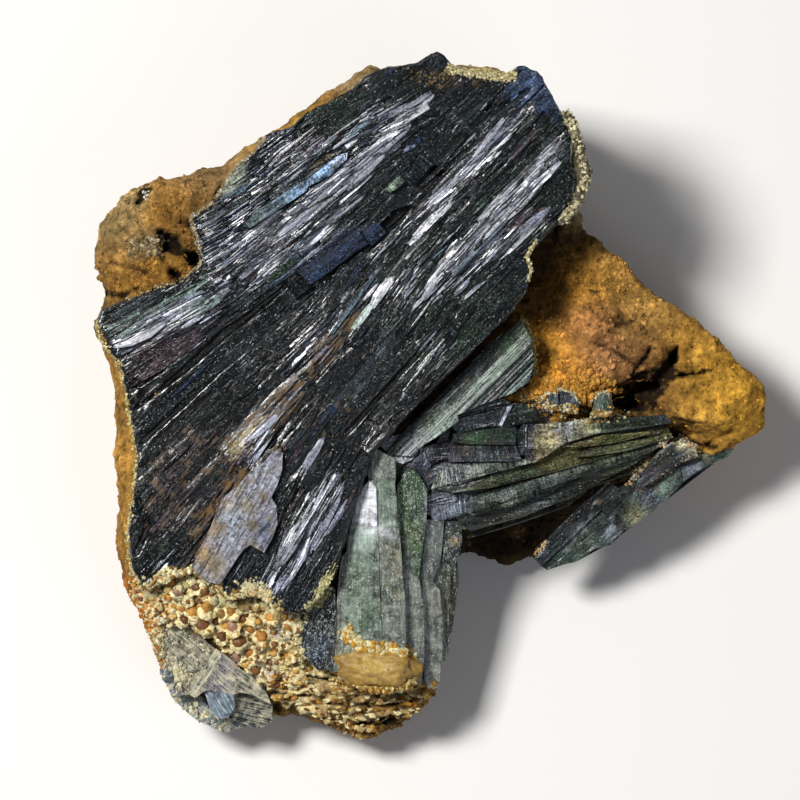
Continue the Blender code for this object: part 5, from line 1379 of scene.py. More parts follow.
def soft_level(points, normals):
    """The level of the plate's upper side at each point, evened out over its steps."""
    spots = (points[:, :2] + GRID_HALF) / SOFT_CELL
    near = spots.astype(int)
    upper = (normals[:, 2] > 0.5) & (points[:, 2] > BODY_LEVEL)
    size = int(2 * GRID_HALF / SOFT_CELL)
    sums, counts = np.zeros((size, size)), np.zeros((size, size))
    np.add.at(sums, (near[upper, 0], near[upper, 1]), points[upper, 2])
    np.add.at(counts, (near[upper, 0], near[upper, 1]), 1.0)
    steps = np.arange(-18, 19) * SOFT_CELL
    kernel = np.exp(-0.5 * (steps / SOFT_REACH) ** 2)
    for axis in (0, 1):
        sums = np.apply_along_axis(np.convolve, axis, sums, kernel, "same")
        counts = np.apply_along_axis(np.convolve, axis, counts, kernel, "same")
    levels = sums / np.maximum(counts, 1e-9)
    corner = np.floor(spots - 0.5).astype(int)
    part = spots - 0.5 - corner
    value = np.zeros(len(points))
    for dx in (0, 1):
        for dy in (0, 1):
            share = np.abs(1 - dx - part[:, 0]) * np.abs(1 - dy - part[:, 1])
            value += share * levels[corner[:, 0] + dx, corner[:, 1] + dy]
    return value


def cleavage_relief(along, across, openness):
    """Height of the plate's cleavage steps, each tipped its own way, with fine lines and cracks."""
    height = np.zeros(len(along))
    apart = Vector((9, 4, 2))
    for i, (u, v) in enumerate(zip(along, across)):
        spot = Vector((u / CLEAVAGE_LENGTH, v / CLEAVAGE_WIDTH, 0.3))
        distances, places = noise.voronoi(spot)
        step = noise.noise(places[0] * 5.3)
        tilt = noise.noise(places[0] * 5.3 + apart)
        crack = max(0.0, 1 - (distances[1] - distances[0]) / 0.07)
        fine = noise.noise(Vector((u / 5, v / 0.7, 3)))
        rise = 0.35 * step + 0.35 * tilt * (spot.y - places[0].y)
        height[i] = (rise + 0.12 * fine) * (0.14 + max(0.0, openness[i])) - 0.06 * crack
    return height


def sheet_colours(x, y):
    """The plate's colours: near black, with the tints that gather on it."""
    colours = np.tile(np.array(linear(TINTS["ink"])), (len(x), 1))
    for *zone, tint, share in TINT_ZONES:
        weight = (share * zone_cover(zone, x, y))[:, None]
        colours = colours * (1 - weight) + np.array(linear(TINTS[tint])) * weight
    return colours


def build_sheet(settings, material):
    """The plate itself, cleaved in long low steps with its cracks sunk into it. Returns its mesh."""
    mesh = remeshed("blade_plate", settings.voxel)
    points, normals = mesh_arrays(mesh)
    x, y = points[:, 0], points[:, 1]
    along, across = plate_flow(x, y)
    openness = zone_sum(OPEN_AND_GLINT_ZONES, COMMON_OPENNESS, x, y)
    dust = zone_sum(DUST_ZONES, 0.0, x, y)
    drop = sunk(points, PLATE_GROOVES, 1.2)
    height = cleavage_relief(along, across, openness)
    upper = np.clip(normals[:, 2] * 2, 0, 1)
    side = np.clip(1 - 1.6 * np.abs(normals[:, 2]), 0, 1)
    layers = np.array([noise.noise(Vector((px / 7, py / 7, pw * 1.4))) for px, py, pw in points])
    chips = np.array([noise.noise(Vector((px / 1.6, py / 1.6, pw * 2.2))) for px, py, pw in points])
    calm = 0.95 - 0.6 * np.clip(openness / 0.5, 0, 1)
    calm *= np.clip((points[:, 2] - BODY_LEVEL) / 2, 0, 1)
    moved = points.copy()
    moved[:, 2] += (soft_level(points, normals) - points[:, 2]) * calm + (height - drop) * upper
    moved[:, :2] += normals[:, :2] * (side * (0.55 * layers + 0.25 * chips))[:, None]
    across = across + 2.5 * points[:, 2] * (1 - upper)
    # Painted shade: the grooves darker the deeper they are sunk.
    colours = sheet_colours(x, y) * np.clip(1 - drop, 0.15, 1)[:, None]
    set_points(mesh, moved)
    paint(mesh, colours, openness - 3 * np.minimum(1, drop))
    nothing = np.zeros(len(points))
    set_attribute(mesh, "grain", np.column_stack((along, across, nothing)))
    set_attribute(mesh, "marks", np.column_stack((dust, nothing, nothing)))
    sheet = piece("plate_sheet", mesh, material, smooth=True)
    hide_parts("blade_plate")
    return mesh


def build_plate(settings):
    """The plate, the layers of loose blades on it, what stands out from them, and its dull face."""
    draw = random.Random(settings.seed)
    material = cleaved_material("crystal_dark_cleaved", 0.2)
    tree = surface_of(build_sheet(settings, material))
    for name, tries, *sizes in LAYERS:
        scatter_blades(name, draw, tree, getattr(settings, tries), *sizes, material)
    bundle = Bundle()
    for foot, tip, width, lift, roll, strips, tint, openness in FEATURES:
        run = Vector(tip) - Vector(foot)
        centre = tuple((Vector(tip) + Vector(foot)) / 2)
        yaw = math.degrees(math.atan2(run.y, run.x))
        look = (vary(draw, tint, 0.05), openness, 0.0)
        lay_blade(
            bundle, draw, tree, centre, lift, roll, yaw, look, run.length, 0.4, width=width, strips=strips,
            ruffle=0.1 + 0.5 * max(0, openness)
        )
    add_crystals(bundle, draw, PLATE_CRYSTALS, dust=-0.5)
    made = bundle.make("plate_features", material)
    tarnished = Bundle()
    shape = cut_blade(
        draw, TARNISHED_FACE, direction=60, level=0.25, pitch=0, roll=-1, depth=1.6, strips=26, rough=0.35
    )
    tarnished.add(*shape, stained_and_highlit(shape[0], linear(TINTS["grey lilac"]), STAINS_AND_HIGHLIGHTS))
    made = tarnished.make("plate_dull_face", tarnished_material())


def add_crystals(bundle, draw, crystals, dust=0.1, rough=0.04):
    """Adds a table's crystals to a bundle, each in its own tint with the spots of stain and painted highlight
    that lie on it.
    """
    for outline, direction, height, pitch, roll, depth, strips, tint, openness, *ribs in crystals:
        ribbing = ribs[0] if ribs else 0.0
        form = (outline, direction, height, pitch, roll, depth, strips, ribbing)
        points, faces, grain = cut_blade(draw, *form, rough=rough)
        colours = stained_and_highlit(points, vary(draw, tint, 0.06), STAINS_AND_HIGHLIGHTS)
        bundle.add(points, faces, grain, colours, openness, dust, ribbing)


def crystal_piece(name, crystals, material, node, seed, dust=0.1, rough=0.04):
    """A group of crystals cut to their outlines, which stands for the group's CAD solid."""
    bundle = Bundle()
    add_crystals(bundle, random.Random(seed), crystals, dust, rough)
    made = bundle.make(name, material)
    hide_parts(node)


def build_side_blades():
    """The crystals of the lower step, side by side over its width."""
    draw = random.Random(3)
    bundle = Bundle()
    for start, stop, height, pitch, roll, strips, tint, openness in STEP_BANDS:
        points, faces, grain = cut_blade(
            draw, STEP_OUTLINE, 45, height, pitch, roll, depth=4, strips=strips, band=(start, stop)
        )
        bundle.add(points, faces, grain, stained_and_highlit(points, vary(draw, tint, 0.06), STAINS_AND_HIGHLIGHTS), openness, 0.05)
    material = cleaved_material("crystal_green_cleaved", 0.26, line=0.26, glint="#a9bcae", cell=(12.0, 0.8))
    made = bundle.make("side_blade_bands", material)
    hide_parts("side_blades")


# Colours of the crust's beads and of its crumbs, and of its bed, one of these painted shade: centre, reach,
# sRGB and strength.
BEAD_COLOURS = ("#7a5128", "#a9742f", "#654222", "#c08a3a", "#94713c", "#cc9c4c", "#96725c")
LEDGE_COLOURS = ("#a87c34", "#c2a868", "#a8782c", "#6c4c22", "#d0c290", "#845a28", "#5a4020")
CRUST_ZONES = (
    ((-46, -35), 3, "#b8742c", 2.4), ((-43, -38.4), 2.6, "#b8742c", 2.0), ((-19, -46), 3.4, "#9c8840", 1.8),
    ((-21.6, -44.6), 2.4, "#a08c48", 1.4), ((-25, -41), 3, "#c4a468", 0.8), ((-31, -40), 4, "#d0a850", 0.6),
    ((-21, -40.8), 1.8, "#9c98a0", 1.6), ((-23, -47.4), 1.6, "#8d8f98", 1.8),
    ((-22, -52), 3, "#b88c44", 1.0), ((-12, -54), 4, "#a88444", 1.0), ((-3, -54), 6, "#805c2c", 1.8),
    # (-3, -57.6) is painted shade, in the deep crack at the crust's foot.
    ((3, -53), 3, "#7a6238", 1.6), ((-12, -51), 3, "#8c6a34", 1.0), ((-3, -57.6), 3, "#3a2814", 2.0),
    ((-36, -34), 4, "#e2d8a8", 1.0),
)
# Cracks between the crust's ledges, painted dark with shade by their depth: depth, then a path of x, y and
# half width.
CRUST_CRACKS = (
    (1.4, ((-16.4, -48.6, 0.25), (-13, -49.2, 0.4), (-8, -50.6, 0.4), (-4, -51.4, 0.4), (1, -51.6, 0.35))),
    (1.0, ((-24, -51.6, 0.3), (-20, -51.8, 0.4), (-16, -52.2, 0.3))),
    (1.0, ((-13, -53.4, 0.3), (-8, -53.6, 0.45), (-2, -53.8, 0.35), (2, -53.2, 0.3))),
    (2.0, ((-7.4, -57, 0.5), (-3.5, -56.6, 1.0), (0.8, -56, 0.8))),
    (0.8, ((-20, -54.6, 0.3), (-15, -55.6, 0.4), (-10, -56.4, 0.3))),
)


def crumb_colour(draw, codes, darkest=0.7, lightest=1.25):
    """One of the colours, made darker or lighter."""
    shade = draw.uniform(darkest, lightest)
    return tuple(min(1, value * shade) for value in linear(draw.choice(codes)))


# The smooth lump at the pale crystals' feet: its middle and its radii.
CAP = (-4.2, -47.0, -8.4)
CAP_RADII = (7.7, 3.9, 3.8)


def on_cap(x, y):
    """How far inside the smooth lump a place lies: 1 in its middle, 0 at its border."""
    return max(0.0, 1 - ((x - CAP[0]) / CAP_RADII[0]) ** 2 - ((y - CAP[1]) / CAP_RADII[1]) ** 2)


BEAD_AREA = ((-47, -17.5), (-50, -30.5))  # x and y ranges in which small beads are tried
BEAD_TRIES = 5000
CRUMB_AREA = ((-48, 7), (-61, -30))  # x and y ranges in which crumbs are scattered


def place_beads(draw):
    """The large beads and the small ones between them: x, y and radius."""
    beads = list(BEADS)
    for _ in range(BEAD_TRIES):
        x, y = draw.uniform(*BEAD_AREA[0]), draw.uniform(*BEAD_AREA[1])
        radius = draw.uniform(0.3, 0.7)
        crowded = any(math.hypot(x - a, y - b) < (radius + c) * 1.12 for a, b, c in beads)
        if not crowded and noise.noise(Vector((x, y, 3)) / 3.5) > -0.08 - 0.3 * (x > -30) * (y < -36):
            beads.append((x, y, radius))
    return beads


CRUST_BASE_WEIGHT = 0.5  # of the pale clay among the colours of the crust's zones
CRUST_SEED = Vector((5, 1, 8))  # where its patterns begin
CRUST_SWELL = 5.0  # size of its broad swellings
CRUST_RAG = 1.3  # size of its ragged relief
CRUST_GRAIN = 0.9  # size of its grains
LEDGE_START = -48.5  # below this y it lies in ledges
LEDGE_FADE = 2.0  # over which they begin
CAP_ROOM = 1.8  # how deep the bed is sunk under the smooth lump


def build_crust_bed(settings, beads):
    """The crust's rough bed, with a pit under each bead and a wall of clay around it. Returns its mesh."""
    mesh = remeshed("bead_crust", settings.voxel)
    points, normals = mesh_arrays(mesh)
    nearest = np.full(len(points), np.inf)
    size = np.ones(len(points))
    for x, y, radius in beads:
        away = np.hypot(points[:, 0] - x, points[:, 1] - y) / radius
        size[away < nearest] = radius
        nearest = np.minimum(nearest, away)
    crack = sunk(points, CRUST_CRACKS)
    wall = np.clip(1 - np.abs(nearest - 1.15) / 0.4, 0, 1)
    pit = np.clip(1 - nearest, 0, 1)
    cream = np.array(settings.cream)
    ground = zone_colours(points, CRUST_ZONES, cream, CRUST_BASE_WEIGHT)
    ochre = np.array(linear("#c29c4e"))
    moved = points.copy()
    colours = np.zeros((len(points), 3))
    for i, point in enumerate(points):
        spot = Vector(point)
        x, y = point[:2]
        fine = cell_height(spot, CRUST_GRAIN, CRUST_SEED)
        broad = noise.fractal(spot / CRUST_SWELL, 0.8, 2.1, 3)
        rag = noise.fractal(spot / CRUST_RAG, 0.8, 2.2, 3)
        ledge = min(1, max(0, (LEDGE_START - y) / LEDGE_FADE))
        layer = math.sin(2.9 * y + 1.2 * math.sin(0.5 * x) + 3 * broad)
        cap = min(1, 3 * on_cap(x, y)) if normals[i][2] > 0.1 else 0.0
        shift = 0.3 * broad + 0.3 * fine + 0.55 * rag + (0.4 * wall[i] - 0.7 * pit[i]) * size[i]
        shift += 0.4 * ledge * layer
        moved[i] += normals[i] * (shift * (1 - cap) + 0.15 * broad * cap)
        moved[i][2] -= crack[i] * (1 - cap) + CAP_ROOM * cap
        colour = ground[i] * (1 - wall[i]) + cream * wall[i]
        # Painted shade: lighter where the bed is raised, darker in the bead pits, in the ledges' low parts
        # and, by depth, in the cracks.
        shade = 0.88 + 0.3 * fine + 0.9 * rag + 0.2 * wall[i] - 0.5 * pit[i] + 0.35 * ledge * min(0, layer)
        colour = colour * max(0.12, min(1.3, shade)) * max(0.05, 1 - crack[i])
        colours[i] = colour * (1 - cap) + ochre * (0.95 + 0.4 * broad) * cap
    set_points(mesh, moved)
    paint(mesh, colours)
    material = crust_material("clay_crust_dried", 0.9, mottle=0.6, shine=0.2)
    base = piece("crust_base", mesh, material, smooth=True)
    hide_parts("bead_crust")
    return mesh


def build_beads(draw, tree, beads):
    """The beads, half sunk into the crust's bed."""
    bundle = Bundle()
    for x, y, radius in beads:
        w = level(tree, x, y)
        if w is not None:
            radii = (radius * 0.9, radius * 1.05, radius * 0.9)
            colour = crumb_colour(draw, BEAD_COLOURS)
            add_crumb(bundle, draw, (x, y, w + radius * 0.35), radii, colour, detail=3, rough=0.3, turn=60)
    material = crust_material("limonite_beads_waxy", 0.5, mottle=1.1, shine=0.4)
    made = bundle.make("crust_beads", material, smooth=True)


def build_cap():
    """The smooth lump, dark at its foot and ochre on top."""
    points, faces = ball_template(5)
    swell = np.array([1 + 0.22 * noise.fractal(Vector(p) * 2.0, 0.9, 2.0, 4) for p in points])
    shaped = points * swell[:, None] * np.array(CAP_RADII)
    middle = 1 - np.hypot(points[:, 0], points[:, 1])[:, None]
    colour = np.array(linear("#8a6a30")) * (1 - middle) + np.array(linear("#c4a55c")) * middle
    lump = Bundle()
    lump.add(place(shaped, CAP, -9), faces, shaped[:, :2], colour)
    material = crust_material("ochre_lump_waxy", 0.5, mottle=1.2, shine=0.4)
    made = lump.make("crust_cap", material, smooth=True)


def scatter_crumbs(settings, draw, tree, beads):
    """Small crumbs over the crust between its beads, mostly of pale clay above and of rusty earth below."""
    crumbs = Bundle()
    for _ in range(settings.crumbs):
        x, y = draw.uniform(*CRUMB_AREA[0]), draw.uniform(*CRUMB_AREA[1])
        w = level(tree, x, y)
        if w is None or on_cap(x, y) > 0:
            continue
        if any(math.hypot(x - a, y - b) < c * 0.9 for a, b, c in beads):
            continue
        radius = draw.uniform(0.15, 0.45)
        low = y < LEDGE_START
        if draw.random() < (0.2 if low else 0.7):
            shade = draw.uniform(0.75, 1.15)
            colour = tuple(min(1, value * shade) for value in settings.cream)
        else:
            colour = crumb_colour(draw, LEDGE_COLOURS)
        radii = (radius * (1.9 if low else 1.2), radius, radius * 0.7)
        turn = draw.uniform(-25, 10)
        add_crumb(crumbs, draw, (x, y, w + radius * 0.1), radii, colour, detail=1, rough=0.5, turn=turn)
    made = crumbs.make("crust_crumbs", crust_material("clay_crumbs_dried", 0.9, mottle=0.5, shine=0.2))


def build_crust(settings):
    """The crust: its bed, its beads, the smooth lump and the crumbs."""
    draw = random.Random(9)
    beads = place_beads(draw)
    tree = surface_of(build_crust_bed(settings, beads))
    build_beads(draw, tree, beads)
    build_cap()
    scatter_crumbs(settings, draw, tree, beads)


# Clays and earths of the rims, as sRGB, from light to dark.
DRY_CLAY = ("#d4ceb4", "#c0b898", "#8c8670")
LIGHT_CLAY = ("#d0c9a4", "#b9b08c")
GREY_EARTH = ("#b4aa90", "#9c8e6c", "#7c6c4c")
YELLOW_CLAY = ("#d2c898", "#c4ba8c")
RIGHT_EDGE = ((28.4, 31.4), (31, 34.5), (32.2, 37.5), (32.6, 40), (31.6, 43.4), (30.8, 46.5), (29.2, 50))
# Stretches of crumbs beside the crystals: path, half width, sizes, colours, number and, where they lie on
# nothing that is built, the range of their levels.
RIMS = (
    (((-53.4, 14), (-51.7, 9), (-49.4, 6.5), (-48.2, 1), (-47.2, -5), (-46.3, -10), (-47.0, -17),
     (-48, -23), (-47.4, -30), (-45, -34)), 0.45, (0.12, 0.32), ("#cfc592", "#b9ac74", "#8c7440"), 620),
    (((8.4, 58.0), (12, 57.6), (16, 57.0), (20, 56.8)), 0.8, (0.1, 0.32), ("#cfc69c", "#bdb288", "#948658"),
     620),
    (RIGHT_EDGE, 0.3, (0.5, 0.9), ("#c9bf9c", "#a89e80", "#8c8266"), 130, (-3.4, -1.1)),
    (RIGHT_EDGE, 0.6, (0.1, 0.42), ("#dcd4b0", "#c9bf98", "#a09674", "#6c6450", "#4c4638"), 1050, (-2.0,
     -0.4)),
    (((22.4, 20.8), (23.0, 22.8), (22.2, 25.2), (24.0, 28)), 0.25, (0.08, 0.26), ("#d8cfa8", "#bfb184",
     "#8c7c54"), 340, (-2.6, -0.8)),
    (((23.4, 4), (23.8, 8), (23.2, 11.5), (21.4, 14.6)), 0.35, (0.15, 0.35), ("#b49a5a", "#c8bc88"), 160),
    (((-36.9, 32.2), (-35.6, 28), (-34.8, 24), (-38, 21), (-43, 19.6), (-48, 17.8)), 0.35, (0.1, 0.3),
     GREY_EARTH, 340),
    (((-36.6, 32.4), (-33, 34.4), (-31.2, 37.4), (-29, 40.7), (-25.6, 43.7), (-23.4, 46.6)), 0.4, (0.1,
     0.3), GREY_EARTH, 300),
    (((21, 1.5), (24, -0.6), (27, -1.6), (31, -2.2), (36, -2.6), (40, -2.4)), 1.0, (0.1, 0.36), ("#a87a36",
     "#c4bb8c", "#8c6a34", "#ccc298"), 460),
    (((24.4, -0.6), (25.6, 1.2), (27.8, 1.5), (28.4, 2.2), (30.4, 1.4), (32, -0.6)), 0.3, (0.08, 0.24),
     LIGHT_CLAY, 360),
    (((33.4, -2), (34.4, 1), (36.6, 1.9), (37.6, -1.6)), 0.3, (0.08, 0.24), LIGHT_CLAY, 240),
    (((22, 3.2), (26, 3.0), (30, 3.4), (35, 3.0), (38, 2.4)), 1.2, (0.2, 0.5), ("#c08a34", "#c89c48",
     "#a87430"), 260),
    (((-44, -33), (-40, -31), (-36.5, -30.2), (-33, -32.5), (-30, -35), (-25, -34.5), (-21, -37)), 1.3,
     (0.1, 0.5), ("#ded4a4", "#c8bc8a", "#b0925a", "#8c6c3c"), 700),
    (((-44, -34.4), (-40, -32.6), (-36.5, -31.8), (-33, -34), (-30, -36.4), (-25, -36), (-21, -38.4)), 0.7,
     (0.5, 1.1), ("#ded4a4", "#d0c594", "#c0a468"), 60),
    (((-12, -57.6), (-7, -59.4), (-2, -59.4), (3, -57.4), (6, -54.6), (6.4, -51)), 1.7, (0.15, 0.55),
     ("#a07c40", "#c8b078", "#7a5a2c", "#b08a48", "#5e4522"), 500),
    (((-17, -37.4), (-14.4, -34.4), (-12.6, -31), (-11.4, -29)), 0.5, (0.12, 0.4), YELLOW_CLAY, 200),
    (((-16.6, -37.6), (-18.2, -41.6), (-17, -45.4)), 0.5, (0.12, 0.4), YELLOW_CLAY, 120),
    (((-47, -32), (-46.4, -36), (-44, -40), (-43.4, -44), (-41.6, -48)), 0.9, (0.15, 0.4), ("#b8742c",
     "#d2c898", "#b47e3c"), 260),
    (((-42, -47), (-39.6, -52), (-36, -55.6), (-31, -57.6)), 0.8, (0.15, 0.6), ("#d0c8a8", "#b8b094",
     "#98a0a4", "#6c7478"), 240),
    (((-41.6, -38), (-42.6, -42), (-42.4, -46)), 0.8, (0.15, 0.6), ("#d8d0b0", "#c4ba94", "#a08a5c"), 140),
    (((-41, -38.4), (-37.4, -41.4), (-33.6, -44.4)), 0.5, (0.08, 0.3), DRY_CLAY, 90),
    (((-41, -41.4), (-38.4, -43.6), (-35.4, -46.2)), 0.5, (0.08, 0.3), DRY_CLAY, 80),
    (((-41, -45), (-38.6, -47), (-36.8, -49.4)), 0.6, (0.1, 0.4), ("#d4ceb4", "#c0b898"), 110),
    (((-39.4, -47.4), (-38.4, -49.6)), 0.5, (0.3, 0.9), ("#ded8b4", "#d0c8a0"), 20),
    (((-11.8, -49.4), (-8, -50.6), (-3, -51.2), (2.6, -50.4)), 0.5, (0.12, 0.4), ("#b08a44", "#7a5a26",
     "#cdb878"), 260),
    (((-47, 26), (-45.2, 27.6), (-42.6, 28.2), (-43.6, 25.8)), 1.1, (0.15, 0.5), ("#a89c7c", "#80704e",
     "#5c5038"), 170),
    (((-45.6, 36.9), (-44.2, 35.8)), 0.6, (0.15, 0.35), ("#d8d4c8", "#3a342c"), 26),
    (((23.6, -27.8), (24.8, -26.2), (26, -24.8)), 0.3, (0.1, 0.25), ("#cbb48c", "#b48a54"), 60),
    (((40.2, -14.4), (44, -10.4), (47, -7.4), (50, -6.6), (52.4, -8.4)), 0.5, (0.08, 0.34), ("#c9a26c",
     "#b8ac94", "#8c8272"), 260),
    (((52.2, -8.6), (50.6, -10.4), (47.6, -12.6), (44.4, -14.8), (42, -16.2)), 0.45, (0.06, 0.22),
     ("#a89c88", "#8c8272", "#6c655a"), 130),
    (((-9.6, -40.4), (-8.4, -42), (-6.4, -43.2), (-3, -43.8), (0.4, -44.4), (2.8, -46)), 0.9, (0.15, 0.6),
     ("#e0d6a8", "#c8983c", "#cfc490", "#b88a34"), 420),
    (((-40.6, -30.6), (-38.4, -31.6), (-35.6, -30.4), (-34.4, -32.4)), 1.3, (0.15, 0.6), ("#e0d8ac",
     "#d0c594", "#8c6a40"), 320),
    (((-27.4, -33.4), (-25, -33), (-23, -35)), 1.5, (0.12, 0.4), ("#d4cca8", "#bdb28a", "#c8bc90"), 320),
    (((-14.6, -35.6), (-13, -32.8), (-11.4, -30.4)), 0.9, (0.12, 0.4), ("#a9a878", "#c4bc8c", "#8c8c5c"),
     240),
    (((9, 57.4), (6, 56), (2, 57)), 1.0, (0.1, 0.3), ("#5c5238", "#7a6c48", "#3a342c"), 120),
)


def place_beside(draw, path, spread):
    """A random place along a path, or some way beside it."""
    lengths = [math.dist(a, b) for a, b in zip(path, path[1:])]
    run = draw.uniform(0, sum(lengths))
    for start, end, length in zip(path, path[1:], lengths):
        if run <= length:
            break
        run -= length
    share = run / length
    x = start[0] + (end[0] - start[0]) * share + draw.gauss(0, spread)
    y = start[1] + (end[1] - start[1]) * share + draw.gauss(0, spread)
    return x, y


# Pieces that the rims' crumbs are seated on.
CARRIERS = (
    "limonite_rock", "plate_sheet", "plate_planks", "pale_faces", "spray_faces", "slab_faces", "crust_base",
    "frosted_faces", "vug_faces",
)


def build_rims():
    """Crumbs of clay and limonite along the borders of the crystals, seated on what is already there."""
    draw = random.Random(21)
    tree = surface_of(*(bpy.data.objects[name].data for name in CARRIERS))
    bundle = Bundle()
    for path, half, sizes, colours, count, *levels in RIMS:
        for _ in range(count):
            x, y = place_beside(draw, path, half * 0.6)
            w = draw.uniform(*levels[0]) if levels else level(tree, x, y)
            if w is None:
                continue
            radius = draw.uniform(*sizes)
            colour = crumb_colour(draw, colours, 0.6, 1.2)
            radii = (radius * draw.uniform(0.8, 1.3), radius, radius * draw.uniform(0.6, 1))
            add_crumb(bundle, draw, (x, y, w + radius * 0.1), radii, colour, detail=1, rough=0.5)
    made = bundle.make("rim_crumbs", crust_material("clay_rim_dried", 0.9, mottle=0.5, shine=0.2))


AIM = Vector((0, 0, FACE_HEIGHT * MM))  # that the camera and the lights look at
SENSOR = 36.0  # width of the camera's sensor, in millimetres


def face_direction(x, y, w):
    """A direction given in the face frame, in the world."""
    return (FACE.to_3x3() @ Vector((x, y, w))).normalized()


def area_light(name, direction, distance, size, power, colour):
    light = bpy.data.lights.new(name, "AREA")
    light.shape = "RECTANGLE"
    light.size = light.size_y = size
    light.energy = power
    light.color = linear(colour)
    obj = bpy.data.objects.new(name, light)
    bpy.context.scene.collection.objects.link(obj)
    obj.location = AIM + direction * distance
    obj.rotation_euler = (-direction).to_track_quat("-Z", "Y").to_euler()


def build_stage(settings):
    bpy.ops.mesh.primitive_plane_add(size=8)
    floor = bpy.context.object
    floor.name = "studio_floor"
    floor.data.materials.append(floor_material(settings))

    scene = bpy.context.scene
    scene.view_settings.view_transform = "Standard"
    world = bpy.data.worlds.new("studio")
    world.use_nodes = True
    world.node_tree.nodes["Background"].inputs["Color"].default_value = rgba(linear("#e8eaee"))
    world.node_tree.nodes["Background"].inputs["Strength"].default_value = 0.12
    scene.world = world
    key, fill = face_direction(-0.46, 0.30, 0.84), face_direction(0.45, -0.35, 0.82)
    area_light("key", key, distance=1.0, size=0.24, power=12.5, colour="#fffdfa")
    area_light("fill", fill, distance=1.6, size=0.9, power=4, colour="#eef3ff")

    camera = bpy.data.objects.new("camera", bpy.data.cameras.new("camera"))
    scene.collection.objects.link(camera)
    direction = face_direction(0, 0, 1)
    camera.location = AIM + direction * settings.distance
    camera.rotation_euler = (-direction).to_track_quat("-Z", "Y").to_euler()
    camera.data.sensor_width = SENSOR
    camera.data.lens = SENSOR * settings.distance / settings.width
    camera.data.clip_end = 20
    scene.camera = camera


# ---------------------------------------------------------------- operators


class SPECIMEN_OT_stage(bpy.types.Operator):
    """Lay the floor and set the lights and the camera"""

    bl_idname = "specimen.stage"
    bl_label = "Stage"

    def execute(self, context):
        build_stage(context.scene.specimen_stage)
        return {"FINISHED"}


class SPECIMEN_OT_rock(bpy.types.Operator):
    """Build the weathered limonite from the matrix's form"""

    bl_idname = "specimen.rock"
    bl_label = "Limonite rock"

    def execute(self, context):
        settings = context.scene.specimen_rock
        scatter_granules(settings, build_rock(settings))
        return {"FINISHED"}


class SPECIMEN_OT_plate(bpy.types.Operator):
    """Lay the fine blades over the large plate"""

    bl_idname = "specimen.plate"
    bl_label = "Plate blades"

    def execute(self, context):
        build_plate(context.scene.specimen_blades)
        return {"FINISHED"}


class SPECIMEN_OT_side_blades(bpy.types.Operator):
    """Build the lower step of blades beside the plate"""

    bl_idname = "specimen.side_blades"
    bl_label = "Side blades"

    def execute(self, context):
        build_side_blades()
        return {"FINISHED"}


class SPECIMEN_OT_pale(bpy.types.Operator):
    """Build the pale glassy crystals"""

    bl_idname = "specimen.pale"
    bl_label = "Pale crystals"

    def execute(self, context):
        crystal_piece("pale_faces", PALE_CRYSTALS, clear_material(), "pale_crystals", 5)
        return {"FINISHED"}


class SPECIMEN_OT_spray(bpy.types.Operator):
    """Build the spray of blades at the right"""

    bl_idname = "specimen.spray"
    bl_label = "Blade spray"

    def execute(self, context):
        material = cleaved_material(
            "crystal_spray_glassy", 0.26, line=0.34, relief=0.025, glint="#b5b6c4", cell=(14.0, 1.8)
        )
        crystal_piece("spray_faces", SPRAY_CRYSTALS, material, "blade_spray", 4)
        return {"FINISHED"}


class SPECIMEN_OT_slab(bpy.types.Operator):
    """Build the grey slab in front of the right lobe"""

    bl_idname = "specimen.slab"
    bl_label = "Grey slab"

    def execute(self, context):
        material = cleaved_material(
            "crystal_grey_etched", 0.26, line=0.9, relief=0.05, glint="#7c848c", cell=(4.0, 1.6)
        )
        crystal_piece("slab_faces", SLAB_CRYSTALS, material, "grey_slab", 6, rough=0.12)
        return {"FINISHED"}


class SPECIMEN_OT_crust(bpy.types.Operator):
    """Build the beaded crust at the front"""

    bl_idname = "specimen.crust"
    bl_label = "Bead crust"

    def execute(self, context):
        build_crust(context.scene.specimen_crust)
        return {"FINISHED"}


class SPECIMEN_OT_frosted(bpy.types.Operator):
    """Build the clay-coated crystals below the crust"""

    bl_idname = "specimen.frosted"
    bl_label = "Frosted crystals"

    def execute(self, context):
        material = frosted_material()
        crystal_piece(
            "frosted_faces", FROSTED_CRYSTALS, material, "frosted_crystals", 7, rough=0.3
        )
        return {"FINISHED"}


class SPECIMEN_OT_vug(bpy.types.Operator):
    """Build the small crystals in the rock's hollow"""

    bl_idname = "specimen.vug"
    bl_label = "Vug crystals"

    def execute(self, context):
        material = cleaved_material("crystal_vug_glassy", 0.3, line=0.4, glint="#9aa39b")
        crystal_piece("vug_faces", VUG_CRYSTALS, material, "vug_crystals", 8, dust=0.3)
        return {"FINISHED"}


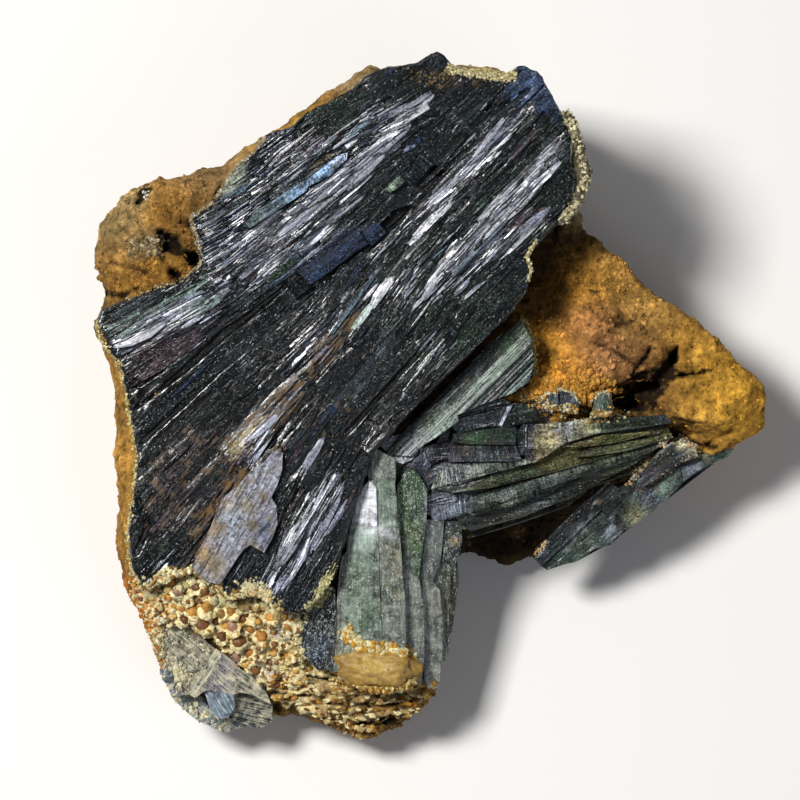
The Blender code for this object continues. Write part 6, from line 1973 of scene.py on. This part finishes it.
class SPECIMEN_OT_rims(bpy.types.Operator):
    """Scatter crumbs of clay along the borders of the crystals"""

    bl_idname = "specimen.rims"
    bl_label = "Rim crumbs"

    def execute(self, context):
        build_rims()
        return {"FINISHED"}


class SPECIMEN_PT_panel(bpy.types.Panel):
    """Sizes and colours of the specimen, and the steps that build it"""

    bl_idname = "SPECIMEN_PT_panel"
    bl_label = "Crystal specimen"
    bl_space_type = "VIEW_3D"
    bl_region_type = "UI"
    bl_category = "Specimen"

    def draw(self, context):
        for group in SETTINGS:
            box = self.layout.box()
            values = getattr(context.scene, group)
            for name in values.bl_rna.properties.keys():
                if name not in ("rna_type", "name"):
                    box.prop(values, name)
        for step in STEPS:
            self.layout.operator(step.bl_idname)


SETTINGS = {
    "specimen_rock": RockSettings,
    "specimen_blades": BladeSettings,
    "specimen_crust": CrustSettings,
    "specimen_stage": StageSettings,
}
STEPS = (
    SPECIMEN_OT_stage, SPECIMEN_OT_rock, SPECIMEN_OT_plate, SPECIMEN_OT_side_blades, SPECIMEN_OT_pale,
    SPECIMEN_OT_spray, SPECIMEN_OT_slab, SPECIMEN_OT_crust, SPECIMEN_OT_frosted, SPECIMEN_OT_vug,
    SPECIMEN_OT_rims,
)
CLASSES = (*SETTINGS.values(), *STEPS, SPECIMEN_PT_panel)


def register():
    for made in CLASSES:
        bpy.utils.register_class(made)
    for name, group in SETTINGS.items():
        setattr(bpy.types.Scene, name, PointerProperty(type=group))


def unregister():
    for name in SETTINGS:
        delattr(bpy.types.Scene, name)
    for made in reversed(CLASSES):
        bpy.utils.unregister_class(made)


def main():
    register()
    bpy.ops.specimen.stage()
    bpy.ops.specimen.rock()
    bpy.ops.specimen.plate()
    bpy.ops.specimen.side_blades()
    bpy.ops.specimen.pale()
    bpy.ops.specimen.spray()
    bpy.ops.specimen.slab()
    bpy.ops.specimen.crust()
    bpy.ops.specimen.frosted()
    bpy.ops.specimen.vug()
    bpy.ops.specimen.rims()


if __name__ == "__main__":
    main()
